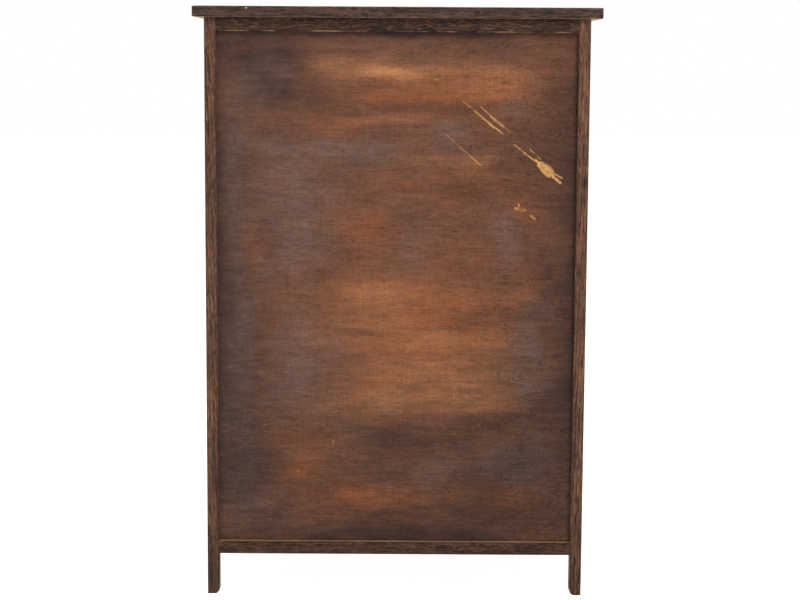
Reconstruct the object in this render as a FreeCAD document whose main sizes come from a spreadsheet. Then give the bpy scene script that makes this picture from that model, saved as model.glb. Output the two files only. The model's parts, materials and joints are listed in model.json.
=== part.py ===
import FreeCAD, Part

import math
import os
from types import SimpleNamespace

import Sketcher

# A small chest of six drawers on slender legs. Corner posts run from the floor to the top board and
# carry rails, thin panels in grooves and the front rails between the drawers. Each drawer is a
# dovetailed box that slides on its own pair of runners.
#
# Axes: X across the front, Y towards the back, Z up. The origin is at floor level, under the middle
# of the whole chest with its knobs. Left and right are as seen from the front. Lengths are in mm.

# Driving dimensions: name, value and meaning
SIZES = (
    ("height", 610, "floor to the upper face of the top board"),
    ("width", 391.5, "outer faces of the posts"),
    ("top_depth", 300, "front to back of the top board"),
    ("top_thickness", 11, "top board"),
    ("side_overhang", 11.75, "top board past the posts at each side"),
    ("front_overhang", 13, "top board past the front posts"),
    ("back_overhang", 5, "top board past the back posts"),
    ("top_edge_radius", 1.5, "all edges of the top board"),
    ("post_width", 12, "across the chest"),
    ("post_depth", 16, "front to back"),
    ("post_edge_radius", 1, "outer upright edges of a post"),
    ("foot_chamfer", 3, "inner lower edge of a foot"),
    ("worn_foot_radius", 5, "inner lower edge of the rounded foot"),
    ("leg_height", 43.2, "floor to the underside of the lower rails"),
    ("top_rail_height", 13, "rails under the top board"),
    ("bottom_rail_height", 13.4, "rails over the legs"),
    ("back_rail_thickness", 12, "back rails"),
    ("side_rail_thickness", 10, "side rails"),
    ("rail_tenon_length", 6, "tenons of the rails in the posts"),
    ("rail_tenon_thickness", 5, "tenons of the rails"),
    ("tenon_shoulder", 1.5, "height lost above or below a tenon"),
    ("mortise_spare", 0.5, "depth of a mortise past its tenon"),
    ("panel_thickness", 4, "back and side panels, and their grooves"),
    ("back_panel_recess", 5, "back panel from the back faces of the posts"),
    ("side_panel_recess", 4, "side panels from the outer faces of the posts"),
    ("groove_depth", 3, "grooves for the panels"),
    ("panel_play", 0.5, "gap between a panel's edge and the floor of its groove"),
    ("divider_thickness", 10, "front rails between the drawers"),
    ("shallow_opening", 68.5, "height of the opening of each shallow drawer"),
    ("web_rail_thickness", 7, "rails inside the back panel, front to back"),
    ("stub_tenon_length", 3.5, "short tenons of the web rails and the runners"),
    ("stub_tenon_thickness", 4, "short tenons"),
    ("runner_width", 14, "runner from the inner face of the posts towards the middle"),
    ("runner_tenon_inset", 3, "short tenon from the inner edge of a runner"),
    ("guide_height", 8, "upright lip that keeps a drawer straight"),
    ("stop_length", 6, "raised rear end of a runner, which stops the drawer"),
    ("stop_gap", 0.2, "between a closed drawer and its stops"),
    ("drawer_setback", 1, "drawer fronts behind the front faces of the posts"),
    ("drawer_gap", 0.8, "around a drawer front"),
    ("front_thickness", 12, "drawer front"),
    ("front_edge_chamfer", 0.8, "eased edges of a drawer front"),
    ("front_lap", 4, "wood left in front of the half-blind dovetails"),
    ("side_thickness", 8, "drawer sides and drawer back"),
    ("side_lift", 0.1, "running gap between drawer sides and runners"),
    ("side_top_gap", 3, "drawer sides below the top of the opening"),
    ("back_top_gap", 4, "drawer back below the drawer sides"),
    ("bottom_thickness", 3, "drawer bottom and its groove"),
    ("bottom_lift", 6, "drawer bottom above the lower edge of the sides"),
    ("bottom_groove_depth", 4, "groove for the drawer bottom"),
    ("tail_share", 0.72, "wide end of a dovetail as a share of the pitch"),
    ("tail_slope", 6, "a dovetail widens by one in this many"),
    ("knob_spacing", 190, "between the two knobs of a drawer"),
    ("knob_stand", 20, "knob proud of the drawer front"),
    ("knob_foot", 14, "side of a knob's square foot, against the drawer front"),
    ("knob_neck", 11, "side of its square neck"),
    ("knob_head", 22, "side of its square head"),
    ("knob_face", 13, "side of the small flat on its bevelled face"),
    ("knob_neck_place", 7, "neck from the drawer front"),
    ("knob_head_place", 12.5, "rear edge of the head from the drawer front"),
    ("knob_rim_place", 16.5, "front edge of the head from the drawer front"),
)

DRAWERS = 6
SHALLOW_DRAWERS = 4
SHALLOW_TAILS = 3
DEEP_TAILS = 4
LEFT, RIGHT = -1, 1
FRONT, BACK = -1, 1
SIDES = {LEFT: "left", RIGHT: "right"}
ENDS = {FRONT: "front", BACK: "back"}

# Coordinates closer than this are the same, and a cut that takes away less is empty
TINY = 1e-6

doc = FreeCAD.newDocument("chest_of_drawers")


class Size:
    """A length that carries its value and the formula over the sheet's cells that gives it."""

    def __init__(self, value, formula):
        self.value = value
        self.formula = formula

    def __add__(self, other):
        other = as_size(other)
        return Size(self.value + other.value, f"({self.formula} + {other.formula})")

    def __sub__(self, other):
        other = as_size(other)
        return Size(self.value - other.value, f"({self.formula} - {other.formula})")

    def __rsub__(self, other):
        return as_size(other) - self

    def __mul__(self, other):
        other = as_size(other)
        return Size(self.value * other.value, f"({self.formula} * {other.formula})")

    def __truediv__(self, other):
        other = as_size(other)
        return Size(self.value / other.value, f"({self.formula} / {other.formula})")

    def __neg__(self):
        return self * -1

    __radd__ = __add__
    __rmul__ = __mul__


def as_size(number):
    """A plain number as a Size."""
    if isinstance(number, Size):
        return number
    return Size(float(number), f"({float(number)})")


def fill_sheet():
    """The sheet of driving dimensions, and the same cells as Sizes for the formulas below."""
    sheet = doc.addObject("Spreadsheet::Sheet", "Sizes")
    cells = {}
    for row, (name, value, meaning) in enumerate(SIZES, start=1):
        sheet.set(f"A{row}", name)
        sheet.set(f"B{row}", str(value))
        sheet.setAlias(f"B{row}", name)
        sheet.set(f"C{row}", meaning)
        cells[name] = Size(value, f"Sizes.{name}")
    doc.recompute()
    return SimpleNamespace(**cells)


size = fill_sheet()

# Main planes of the chest
carcass_depth = size.top_depth - size.front_overhang - size.back_overhang
whole_depth = size.back_overhang + carcass_depth + size.knob_stand - size.drawer_setback
back_plane = whole_depth / 2 - size.back_overhang
front_plane = back_plane - carcass_depth
post_height = size.height - size.top_thickness
opening_top = post_height - size.top_rail_height
opening_bottom = size.leg_height + size.bottom_rail_height
half_opening = size.width / 2 - size.post_width
rail_run = carcass_depth - size.post_depth * 2


def bind(thing, path, length):
    """Drives one property of an object by a formula."""
    thing.setExpression(path, as_size(length).formula)


def place(thing, x, y, z):
    """Puts a sub-part at a point that follows the sheet."""
    bind(thing, "Placement.Base.x", x)
    bind(thing, "Placement.Base.y", y)
    bind(thing, "Placement.Base.z", z)


def new_body(label, x, y, z):
    """An empty body, placed by formulas."""
    body = doc.addObject("PartDesign::Body", label)
    body.Label = label
    place(body, x, y, z)
    return body


# Each axis of a body with the origin plane across it, and the way that this plane faces
PLANES = {"x": ("YZ_Plane", 1), "y": ("XZ_Plane", -1), "z": ("XY_Plane", 1)}


def new_sketch(body, name, axis, offset):
    """An empty sketch across an axis of the body, at a driven distance from its origin."""
    role, facing = PLANES[axis]
    plane = next(p for p in body.Origin.OriginFeatures if p.Role == role)
    sketch = body.newObject("Sketcher::SketchObject", f"{body.Label}_{name}_sketch")
    sketch.AttachmentSupport = [(plane, "")]
    sketch.MapMode = "FlatFace"
    bind(sketch, "AttachmentOffset.Base.z", as_size(offset) * facing)
    return sketch


def arc_between(start, end, radius):
    """An arc from start to end. A positive radius turns left on the way, a negative one right."""
    chord = end - start
    reach = math.sqrt(radius**2 - (chord.Length / 2) ** 2)
    left = FreeCAD.Vector(-chord.y, chord.x, 0).normalize()
    side = 1 if radius > 0 else -1
    centre = (start + end) / 2 + left * (reach * side)
    first, last = (start, end) if radius > 0 else (end, start)
    begin = math.atan2(first.y - centre.y, first.x - centre.x)
    finish = math.atan2(last.y - centre.y, last.x - centre.x)
    if finish <= begin:
        finish += 2 * math.pi
    circle = Part.Circle(centre, FreeCAD.Vector(0, 0, 1), abs(radius))
    return Part.ArcOfCircle(circle, begin, finish)


def draw_loop(sketch, corners, radii=None):
    """A closed outline with every corner driven. radii gives the side number and radius of each arc."""
    radii = radii or {}
    points = [FreeCAD.Vector(as_size(x).value, as_size(y).value, 0) for x, y in corners]
    count = len(points)
    base = sketch.GeometryCount
    starts = {}
    ends = {}
    for side in range(count):
        start, end = points[side], points[(side + 1) % count]
        if side in radii:
            radius = as_size(radii[side]).value
            sketch.addGeometry(arc_between(start, end, radius), False)
            starts[side], ends[side] = (1, 2) if radius > 0 else (2, 1)
        else:
            sketch.addGeometry(Part.LineSegment(start, end), False)
            starts[side], ends[side] = 1, 2
    joints = []
    for side in range(count):
        after = (side + 1) % count
        joints.append(Sketcher.Constraint("Coincident", base + side, ends[side], base + after, starts[after]))
    sketch.addConstraint(joints)
    for side, (x, y) in enumerate(corners):
        drive(sketch, "DistanceX", x, base + side, starts[side])
        drive(sketch, "DistanceY", y, base + side, starts[side])
    for side, radius in radii.items():
        outward = radius if as_size(radius).value > 0 else -as_size(radius)
        drive(sketch, "Radius", outward, base + side)


def drive(sketch, kind, length, *where):
    """A constraint whose value follows the sheet."""
    number = sketch.addConstraint(Sketcher.Constraint(kind, *where, as_size(length).value))
    bind(sketch, f"Constraints[{number}]", length)


def prism(body, kind, name, axis, start, end, *loops):
    """A Pad or a Pocket of the loops, from start to end along an axis of the body."""
    sketch = new_sketch(body, name, axis, start)
    for loop in loops:
        draw_loop(sketch, *loop)
    feature = body.newObject(f"PartDesign::{kind}", f"{body.Label}_{name}")
    feature.Profile = sketch
    bind(feature, "Length", as_size(end) - as_size(start))
    faces_along = PLANES[axis][1] > 0
    feature.Reversed = not faces_along if kind == "Pad" else faces_along
    sketch.Visibility = False
    return feature


def rectangle(x0, y0, x1, y1):
    """The loop of a rectangle between two opposite corners."""
    return ([(x0, y0), (x1, y0), (x1, y1), (x0, y1)],)


def edge_names(shape, test):
    """Names of the edges whose every corner passes the test."""
    names = []
    for number, edge in enumerate(shape.Edges, start=1):
        if all(test(corner.Point) for corner in edge.Vertexes):
            names.append(f"Edge{number}")
    return names


def near(number, length):
    """True if a coordinate lies at a length."""
    return abs(number - as_size(length).value) < TINY


def bay(number):
    """Floor and roof of the opening of a drawer, counted from the top."""
    deep_drawers = DRAWERS - SHALLOW_DRAWERS
    taken = size.shallow_opening * SHALLOW_DRAWERS + size.divider_thickness * (DRAWERS - 1)
    deep_opening = (opening_top - opening_bottom - taken) / deep_drawers
    shallow_above = min(number - 1, SHALLOW_DRAWERS)
    deep_above = number - 1 - shallow_above
    roof = opening_top - size.shallow_opening * shallow_above - deep_opening * deep_above
    roof = roof - size.divider_thickness * (number - 1)
    height = size.shallow_opening if number <= SHALLOW_DRAWERS else deep_opening
    return roof - height, roof


def top_board():
    """The top: a flat board that overhangs all round, its edges slightly eased."""
    half = size.width / 2 + size.side_overhang
    body = new_body("top_board", 0, front_plane - size.front_overhang, post_height)
    board = prism(body, "Pad", "board", "z", 0, size.top_thickness, rectangle(-half, 0, half, size.top_depth))
    doc.recompute()
    easing = body.newObject("PartDesign::Fillet", "top_board_easing")
    easing.Base = (board, edge_names(board.Shape, lambda point: True))
    bind(easing, "Radius", size.top_edge_radius)
    return body


def tenon_band(height, groove=None):
    """Lowest and highest line of a rail's tenon, clear of a panel groove in its upper or lower edge."""
    low = size.groove_depth if groove == "lower" else size.tenon_shoulder
    high = height - (size.groove_depth if groove == "upper" else size.tenon_shoulder)
    return low, high


def rail_levels():
    """Base and height of the lower and the upper rails, and the edge that takes a panel."""
    return (
        (size.leg_height, size.bottom_rail_height, "upper"),
        (opening_top, size.top_rail_height, "lower"),
    )


def centred_tenon(thickness, tenon):
    """Near and far face of a tenon in the middle of a rail's thickness."""
    near_face = (thickness - tenon) / 2
    return near_face, near_face + tenon


def post(side, end):
    """A corner post that runs down as a leg, with its mortises, panel grooves and eased edges."""
    inward, onward = -side, -end
    label = f"post_{ENDS[end]}_{SIDES[side]}"
    body = new_body(label, size.width / 2 * side, back_plane if end == BACK else front_plane, 0)
    wide, deep, radius = size.post_width, size.post_depth, size.post_edge_radius
    corners = [(radius, 0), (wide, 0), (wide, deep), (radius, deep), (0, deep - radius), (0, radius)]
    corners = [(x * inward, y * onward) for x, y in map(pair_of_sizes, corners)]
    turn = inward * onward
    prism(body, "Pad", "shaft", "z", 0, post_height, (corners, {3: radius * turn, 5: radius * turn}))

    # Grooves for the panels, between the floors of the grooves in the lower and the upper rail
    low = opening_bottom - size.groove_depth
    high = opening_top + size.groove_depth
    side_near = size.side_panel_recess
    side_groove = rectangle(
        side_near * inward,
        (deep - size.groove_depth) * onward,
        (side_near + size.panel_thickness) * inward,
        deep * onward,
    )
    grooves = [side_groove]
    if end == BACK:
        back_near = size.back_panel_recess
        grooves.append(
            rectangle(
                (wide - size.groove_depth) * inward,
                back_near * onward,
                wide * inward,
                (back_near + size.panel_thickness) * onward,
            )
        )
    prism(body, "Pocket", "grooves", "z", low, high, *grooves)

    # Mortises in the face towards the middle of the chest
    cross_mortises(body, side, end)

    # Mortises for the side rails
    near_face, far_face = centred_tenon(size.side_rail_thickness, size.rail_tenon_thickness)
    bands = []
    for base, height, groove in rail_levels():
        tenon_low, tenon_high = tenon_band(height, groove)
        bands.append(rectangle(near_face * inward, base + tenon_low, far_face * inward, base + tenon_high))
    mouth = deep * onward
    floor = (deep - size.rail_tenon_length - size.mortise_spare) * onward
    prism(body, "Pocket", "side_mortises", "y", *in_order(floor, mouth), *bands)

    # Foot: the inner lower edge is chamfered, and rounded by wear on one post
    worn = side == LEFT and end == BACK
    cut = size.worn_foot_radius if worn else size.foot_chamfer
    toe = [((wide - cut) * inward, as_size(0)), (wide * inward, as_size(0)), (wide * inward, cut)]
    arc = {2: size.worn_foot_radius * side} if worn else {}
    prism(body, "Pocket", "foot", "y", *in_order(as_size(0), mouth), (toe, arc))
    return body


def pair_of_sizes(pair):
    """Both coordinates of a corner as Sizes."""
    return as_size(pair[0]), as_size(pair[1])


def in_order(first, second):
    """Two lengths, the lower one first."""
    return (first, second) if first.value < second.value else (second, first)


def cross_mortises(body, side, end):
    """Mortises for the rails that run across the chest, cut into the inner face of a post."""
    inward, onward = -side, -end
    mouth = size.post_width * inward
    long_floor = (size.post_width - size.rail_tenon_length - size.mortise_spare) * inward
    if end == FRONT:
        near_face, far_face = front_tenon()
    else:
        near_face, far_face = centred_tenon(size.back_rail_thickness, size.rail_tenon_thickness)
    loops = []
    for base, height, groove in rail_levels():
        low, high = tenon_band(height, groove if end == BACK else None)
        loops.append(rectangle(near_face * onward, base + low, far_face * onward, base + high))
    if end == FRONT:
        low, high = tenon_band(size.divider_thickness)
        for number in range(1, DRAWERS):
            base = bay(number)[0] - size.divider_thickness
            loops.append(rectangle(near_face * onward, base + low, far_face * onward, base + high))
    prism(body, "Pocket", "cross_mortises", "x", *in_order(long_floor, mouth), *loops)
    if end == BACK:
        short_floor = (size.post_width - size.stub_tenon_length - size.mortise_spare) * inward
        near_face, far_face = web_tenon()
        loops = []
        low, high = centred_tenon(size.divider_thickness, size.stub_tenon_thickness)
        for number in range(1, DRAWERS):
            base = bay(number)[0] - size.divider_thickness
            loops.append(rectangle(near_face * onward, base + low, far_face * onward, base + high))
        prism(body, "Pocket", "web_mortises", "x", *in_order(short_floor, mouth), *loops)


def front_tenon():
    """Near and far face of the tenons of the front rails, from the front plane."""
    near_face = (size.post_depth - size.groove_depth - size.rail_tenon_thickness) / 2
    return near_face, near_face + size.rail_tenon_thickness


def web_tenon():
    """Near and far face of the tenons of the web rails, from the back plane."""
    start = size.back_panel_recess + size.panel_thickness
    near_face, far_face = centred_tenon(size.web_rail_thickness, size.stub_tenon_thickness)
    return start + near_face, start + far_face


def panel_groove(height, edge):
    """Lowest and highest line of the panel groove in the upper or lower edge of a rail."""
    if edge == "upper":
        return height - size.groove_depth, height
    return as_size(0), size.groove_depth


def back_rail(label, base, height, grooved_edge):
    """A rail between the back posts, grooved for the back panel, with a tenon at each end."""
    body = new_body(label, 0, back_plane, base)
    thick = size.back_rail_thickness
    near_face, far_face = centred_tenon(thick, size.rail_tenon_thickness)
    low, high = tenon_band(height, grooved_edge)
    reach = half_opening + size.rail_tenon_length
    prism(body, "Pad", "tenons", "x", -reach, reach, rectangle(-near_face, low, -far_face, high))
    prism(body, "Pad", "rail", "x", -half_opening, half_opening, rectangle(0, 0, -thick, height))
    low, high = panel_groove(height, grooved_edge)
    outer = size.back_panel_recess
    groove = rectangle(-outer, low, -(outer + size.panel_thickness), high)
    prism(body, "Pocket", "groove", "x", -half_opening, half_opening, groove)
    return body


def side_rail(side, label, base, height, grooved_edge):
    """A rail between the front and the back post of one side, grooved for the side panel."""
    inward = -side
    body = new_body(f"{label}_{SIDES[side]}", size.width / 2 * side, front_plane + size.post_depth, base)
    thick = size.side_rail_thickness
    near_face, far_face = centred_tenon(thick, size.rail_tenon_thickness)
    low, high = tenon_band(height, grooved_edge)
    tenon = rectangle(near_face * inward, low, far_face * inward, high)
    reach = size.rail_tenon_length
    prism(body, "Pad", "tenons", "y", -reach, rail_run + reach, tenon)
    prism(body, "Pad", "rail", "y", 0, rail_run, rectangle(0, 0, thick * inward, height))
    low, high = panel_groove(height, grooved_edge)
    outer = size.side_panel_recess
    groove = rectangle(outer * inward, low, (outer + size.panel_thickness) * inward, high)
    prism(body, "Pocket", "groove", "y", 0, rail_run, groove)
    return body


def front_rail(label, base, height, has_runners):
    """A rail between the front posts. One that carries runners has mortises for them at its back."""
    body = new_body(label, 0, front_plane, base)
    near_face, far_face = front_tenon()
    low, high = tenon_band(height)
    reach = half_opening + size.rail_tenon_length
    prism(body, "Pad", "tenons", "x", -reach, reach, rectangle(near_face, low, far_face, high))
    prism(body, "Pad", "rail", "x", -half_opening, half_opening, rectangle(0, 0, size.post_depth, height))
    if has_runners:
        floor = size.post_depth - size.stub_tenon_length - size.mortise_spare
        prism(body, "Pocket", "runner_mortises", "y", floor, size.post_depth, *runner_mortises(height))
    return body


def runner_tenon():
    """Inner and outer face of a runner's short tenon, from the middle of the chest."""
    inner = half_opening - size.runner_width + size.runner_tenon_inset
    return inner, half_opening - size.runner_tenon_inset


def runner_mortises(rail_height):
    """The mortises for a left and a right runner, in a rail whose top is level with the runners."""
    inner, outer = runner_tenon()
    low, high = centred_tenon(size.divider_thickness, size.stub_tenon_thickness)
    sunk = rail_height - size.divider_thickness
    return [rectangle(inner * side, sunk + low, outer * side, sunk + high) for side in (LEFT, RIGHT)]


def web_rail(number):
    """A thin rail right inside the back panel, which is pinned to it. It holds the runners' ends."""
    base = bay(number)[0] - size.divider_thickness
    body = new_body(f"back_web_rail_{number}", 0, back_plane, base)
    near_face, far_face = web_tenon()
    low, high = centred_tenon(size.divider_thickness, size.stub_tenon_thickness)
    reach = half_opening + size.stub_tenon_length
    outer = size.back_panel_recess + size.panel_thickness
    inner = outer + size.web_rail_thickness
    prism(body, "Pad", "tenons", "x", -reach, reach, rectangle(-near_face, low, -far_face, high))
    rail = rectangle(-outer, 0, -inner, size.divider_thickness)
    prism(body, "Pad", "rail", "x", -half_opening, half_opening, rail)
    mouth = -inner
    floor = mouth + size.stub_tenon_length + size.mortise_spare
    prism(body, "Pocket", "runner_mortises", "y", mouth, floor, *runner_mortises(size.divider_thickness))
    return body


def runner(number, side):
    """The runner of a drawer at one side: a ledge, a lip that guides the drawer and a raised stop."""
    lowest = number == DRAWERS
    body = new_body(f"runner_{number}_{SIDES[side]}", 0, front_plane + size.post_depth, bay(number)[0])
    inner = half_opening - size.runner_width
    panel = size.width / 2 - size.side_panel_recess - size.panel_thickness
    rail = size.width / 2 - size.side_rail_thickness
    ledge = -size.divider_thickness
    corners = [(inner, 0), (inner, ledge)]
    if lowest:
        corners += [(rail, ledge), (rail, 0), (panel, 0)]
    else:
        corners += [(panel, ledge)]
    corners += [(panel, size.guide_height), (half_opening, size.guide_height), (half_opening, 0)]
    corners = [(x * side, y) for x, y in map(pair_of_sizes, corners)]
    prism(body, "Pad", "ledge", "y", 0, rail_run, (corners,))
    stop = rectangle(inner * side, 0, half_opening * side, size.guide_height)
    prism(body, "Pad", "stop", "y", rail_run - size.stop_length, rail_run, stop)
    tenon_inner, tenon_outer = runner_tenon()
    low, high = centred_tenon(size.divider_thickness, size.stub_tenon_thickness)
    tenon = rectangle(tenon_inner * side, ledge + low, tenon_outer * side, ledge + high)
    stub = size.stub_tenon_length
    rear = rail_run if lowest else rail_run + stub
    prism(body, "Pad", "stub_tenons", "y", -stub, rear, tenon)
    return body


def kicker(side):
    """A strip under the top that keeps the top drawer from tipping when it is pulled out."""
    body = new_body(f"kicker_{SIDES[side]}", 0, front_plane + size.post_depth, opening_top)
    inner = half_opening - size.runner_width
    rail = size.width / 2 - size.side_rail_thickness
    strip = rectangle(inner * side, 0, rail * side, size.divider_thickness)
    prism(body, "Pad", "strip", "y", 0, rail_run, strip)
    return body


def panel(label, x, y, z, length, depth, height):
    """A thin flat panel. The sizes that aren't its thickness reach into the grooves around it."""
    box = doc.addObject("Part::Box", label)
    box.Label = label
    bind(box, "Length", length)
    bind(box, "Width", depth)
    bind(box, "Height", height)
    place(box, x, y, z)
    return box


def carcass_panels():
    """The back panel and the two side panels. They stand on the floors of the lower grooves."""
    bite = size.groove_depth - size.panel_play
    low = opening_bottom - size.groove_depth
    height = opening_top + bite - low
    half = half_opening + bite
    thick = size.panel_thickness
    back_face = back_plane - size.back_panel_recess - thick
    pieces = [panel("back_panel", -half, back_face, low, half * 2, thick, height)]
    for side in (LEFT, RIGHT):
        outer = (size.width / 2 - size.side_panel_recess) * side
        left_face = outer if side == LEFT else outer - thick
        start = front_plane + size.post_depth - bite
        label = f"side_panel_{SIDES[side]}"
        pieces.append(panel(label, left_face, start, low, thick, rail_run + bite * 2, height))
    return pieces


def group(label, members):
    """Several like pieces in one node, each of them a solid of its own."""
    compound = doc.addObject("Part::Compound", label)
    compound.Label = label
    compound.Links = members
    return compound


def carcass():
    """All pieces that stand still."""
    pieces = [top_board()]
    pieces += [post(side, end) for side in (LEFT, RIGHT) for end in (FRONT, BACK)]
    for name, (base, height, groove) in zip(("bottom_rail", "top_rail"), rail_levels()):
        pieces.append(back_rail(f"back_{name}", base, height, groove))
        pieces += [side_rail(side, f"side_{name}", base, height, groove) for side in (LEFT, RIGHT)]
        pieces.append(front_rail(f"front_{name}", base, height, name == "bottom_rail"))
    pieces += carcass_panels()
    for number in range(1, DRAWERS):
        base = bay(number)[0] - size.divider_thickness
        pieces.append(front_rail(f"drawer_divider_{number}", base, size.divider_thickness, True))
    pieces.append(group("back_web_rails", [web_rail(number) for number in range(1, DRAWERS)]))
    pairs = [(number, side) for number in range(1, DRAWERS + 1) for side in (LEFT, RIGHT)]
    pieces.append(group("drawer_runners", [runner(number, side) for number, side in pairs]))
    pieces.append(group("top_kickers", [kicker(side) for side in (LEFT, RIGHT)]))
    return pieces


def tails(low, high, count, root, tip):
    """The dovetails on one end of a drawer side as loops: two corners at the root and two at the tip."""
    pitch = (high - low) / count
    near_end, far_end = in_order(root, tip)
    spread = (far_end - near_end) / size.tail_slope
    half_tip = pitch / 2 * size.tail_share
    half_root = half_tip - spread
    shapes = []
    for number in range(count):
        middle = low + pitch * (number + 0.5)
        shapes.append(
            [
                (root, middle - half_root),
                (tip, middle - half_tip),
                (tip, middle + half_tip),
                (root, middle + half_root),
            ]
        )
    return shapes


class DrawerPlan:
    """The lines of one drawer in its own frame: y from the drawer's face, z from its runners."""

    def __init__(self, number):
        floor, roof = bay(number)
        opening = roof - floor
        self.number = number
        self.floor = floor
        self.tail_count = SHALLOW_TAILS if number <= SHALLOW_DRAWERS else DEEP_TAILS
        self.half_width = half_opening - size.drawer_gap
        self.front_low = size.drawer_gap
        self.front_high = opening - size.drawer_gap
        self.side_low = size.side_lift
        self.side_high = opening - size.side_top_gap
        self.rear = carcass_depth - size.post_depth - size.stop_length - size.stop_gap - size.drawer_setback
        self.bottom_low = self.side_low + size.bottom_lift
        self.bottom_high = self.bottom_low + size.bottom_thickness
        self.back_high = self.side_high - size.back_top_gap
        self.front_tails = tails(
            self.side_low, self.side_high, self.tail_count, size.front_thickness, size.front_lap
        )
        self.back_tails = tails(
            self.bottom_high, self.back_high, self.tail_count, self.rear - size.side_thickness, self.rear
        )

    def body(self, name):
        """An empty body of this drawer, at the drawer's place in the chest."""
        label = f"drawer_{self.number}_{name}"
        return new_body(label, 0, front_plane + size.drawer_setback, self.floor)


def drawer_front(plan):
    """The front: eased face edges, half-blind sockets for the tails and a groove."""
    body = plan.body("front")
    half, thick = plan.half_width, size.front_thickness
    board = prism(
        body, "Pad", "board", "y", 0, thick, rectangle(-half, plan.front_low, half, plan.front_high)
    )
    doc.recompute()
    easing = body.newObject("PartDesign::Chamfer", f"{body.Label}_easing")
    easing.Base = (board, edge_names(board.Shape, lambda p: near(p.y, 0)))
    bind(easing, "Size", size.front_edge_chamfer)
    for side in (LEFT, RIGHT):
        end = half * side
        floor = (half - size.side_thickness) * side
        sockets = [(corners,) for corners in plan.front_tails]
        prism(body, "Pocket", f"sockets_{SIDES[side]}", "x", *in_order(floor, end), *sockets)
    groove = rectangle(thick - size.bottom_groove_depth, plan.bottom_low, thick, plan.bottom_high)
    prism(body, "Pocket", "groove", "x", -half, half, groove)
    return body


def drawer_side(plan, side):
    """A side: tails at the front end, tails at the rear end around the back, and a groove."""
    body = plan.body(f"side_{SIDES[side]}")
    rear, low, high = plan.rear, plan.side_low, plan.side_high
    rear_root = rear - size.side_thickness
    shoulder = size.front_thickness
    outline = [(shoulder, low), (rear, low), (rear, plan.bottom_high), (rear_root, plan.bottom_high)]
    for corners in plan.back_tails:
        outline += corners
    outline += [(rear_root, plan.back_high), (rear, plan.back_high), (rear, high), (shoulder, high)]
    for corners in reversed(plan.front_tails):
        outline += reversed(corners)
    outer = plan.half_width * side
    inner = (plan.half_width - size.side_thickness) * side
    prism(body, "Pad", "board", "x", *in_order(inner, outer), (outline,))
    floor = inner + size.bottom_groove_depth * side
    groove = rectangle(size.front_lap, plan.bottom_low, rear, plan.bottom_high)
    prism(body, "Pocket", "groove", "x", *in_order(inner, floor), groove)
    return body


def drawer_back(plan):
    """The back: it stands on the drawer bottom between the rear tails of the sides."""
    body = plan.body("back")
    half, rear = plan.half_width, plan.rear
    start = rear - size.side_thickness
    board = rectangle(-half, plan.bottom_high, half, plan.back_high)
    prism(body, "Pad", "board", "y", start, rear, board)
    for side in (LEFT, RIGHT):
        end = half * side
        floor = (half - size.side_thickness) * side
        sockets = [(corners,) for corners in plan.back_tails]
        prism(body, "Pocket", f"sockets_{SIDES[side]}", "x", *in_order(floor, end), *sockets)
    return body


def drawer_bottom(plan):
    """The bottom: a thin panel slid in from the rear, under the back."""
    bite = size.bottom_groove_depth - size.panel_play
    half = plan.half_width - size.side_thickness + bite
    start = size.front_thickness - bite
    x, y, z = -half, front_plane + size.drawer_setback + start, plan.floor + plan.bottom_low
    label = f"drawer_{plan.number}_bottom"
    return panel(label, x, y, z, half * 2, plan.rear - start, size.bottom_thickness)


def knob(plan, side):
    """A square wooden knob with a neck, a flared head and a bevelled face, sawn alike from two sides."""
    middle = (plan.front_low + plan.front_high) / 2
    label = f"drawer_{plan.number}_knob_{SIDES[side]}"
    place_x = size.knob_spacing / 2 * side
    body = new_body(label, place_x, front_plane + size.drawer_setback, plan.floor + middle)
    half = size.knob_head / 2
    foot = (size.knob_foot / 2, as_size(0))
    neck = (size.knob_neck / 2, -size.knob_neck_place)
    head = (half, -size.knob_head_place)
    rim = (half, -size.knob_rim_place)
    face = (size.knob_face / 2, -size.knob_stand)
    outline = [foot, neck, head, rim, face]
    outline += [(-across, along) for across, along in reversed(outline)]
    prism(body, "Pad", "outline", "z", -half, half, (outline,))
    waste = []
    for turn in (1, -1):
        for loop in ([foot, neck, head, (half, as_size(0))], [rim, face, (half, -size.knob_stand)]):
            waste.append(([(along, across * turn) for across, along in loop],))
    prism(body, "Pocket", "waste", "x", -half, half, *waste)
    return body


def drawer(number):
    """All pieces of one drawer."""
    plan = DrawerPlan(number)
    pieces = [drawer_front(plan)]
    pieces += [drawer_side(plan, side) for side in (LEFT, RIGHT)]
    pieces.append(drawer_back(plan))
    pieces.append(drawer_bottom(plan))
    pieces.append(group(f"drawer_{number}_knobs", [knob(plan, side) for side in (LEFT, RIGHT)]))
    return pieces


def check(pieces):
    """Stops if anything in the document failed, if a cut took nothing away, or if a shape is broken."""
    failed = [thing.Label for thing in doc.Objects if {"Invalid", "Error"} & set(thing.State)]
    if failed:
        raise RuntimeError("failed: " + ", ".join(failed))
    for thing in doc.Objects:
        if thing.TypeId == "PartDesign::Pocket":
            if thing.Shape.Volume >= thing.BaseFeature.Shape.Volume - TINY:
                failed.append(f"{thing.Label} cuts nothing")
    for piece in pieces:
        if piece.Shape.isNull() or not piece.Shape.isValid():
            failed.append(f"{piece.Label} has no valid shape")
    if failed:
        raise RuntimeError("; ".join(failed))


def write(pieces):
    """One STEP file for each sub-part."""
    os.makedirs("parts", exist_ok=True)
    for piece in pieces:
        piece.Shape.exportStep(os.path.join("parts", f"{piece.Label}.step"))


def main():
    pieces = carcass()
    for number in range(1, DRAWERS + 1):
        pieces += drawer(number)
    doc.recompute()
    check(pieces)
    write(pieces)
    solids = sum(len(piece.Shape.Solids) for piece in pieces)
    print(f"{len(pieces)} nodes, {solids} solids")


main()
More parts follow.
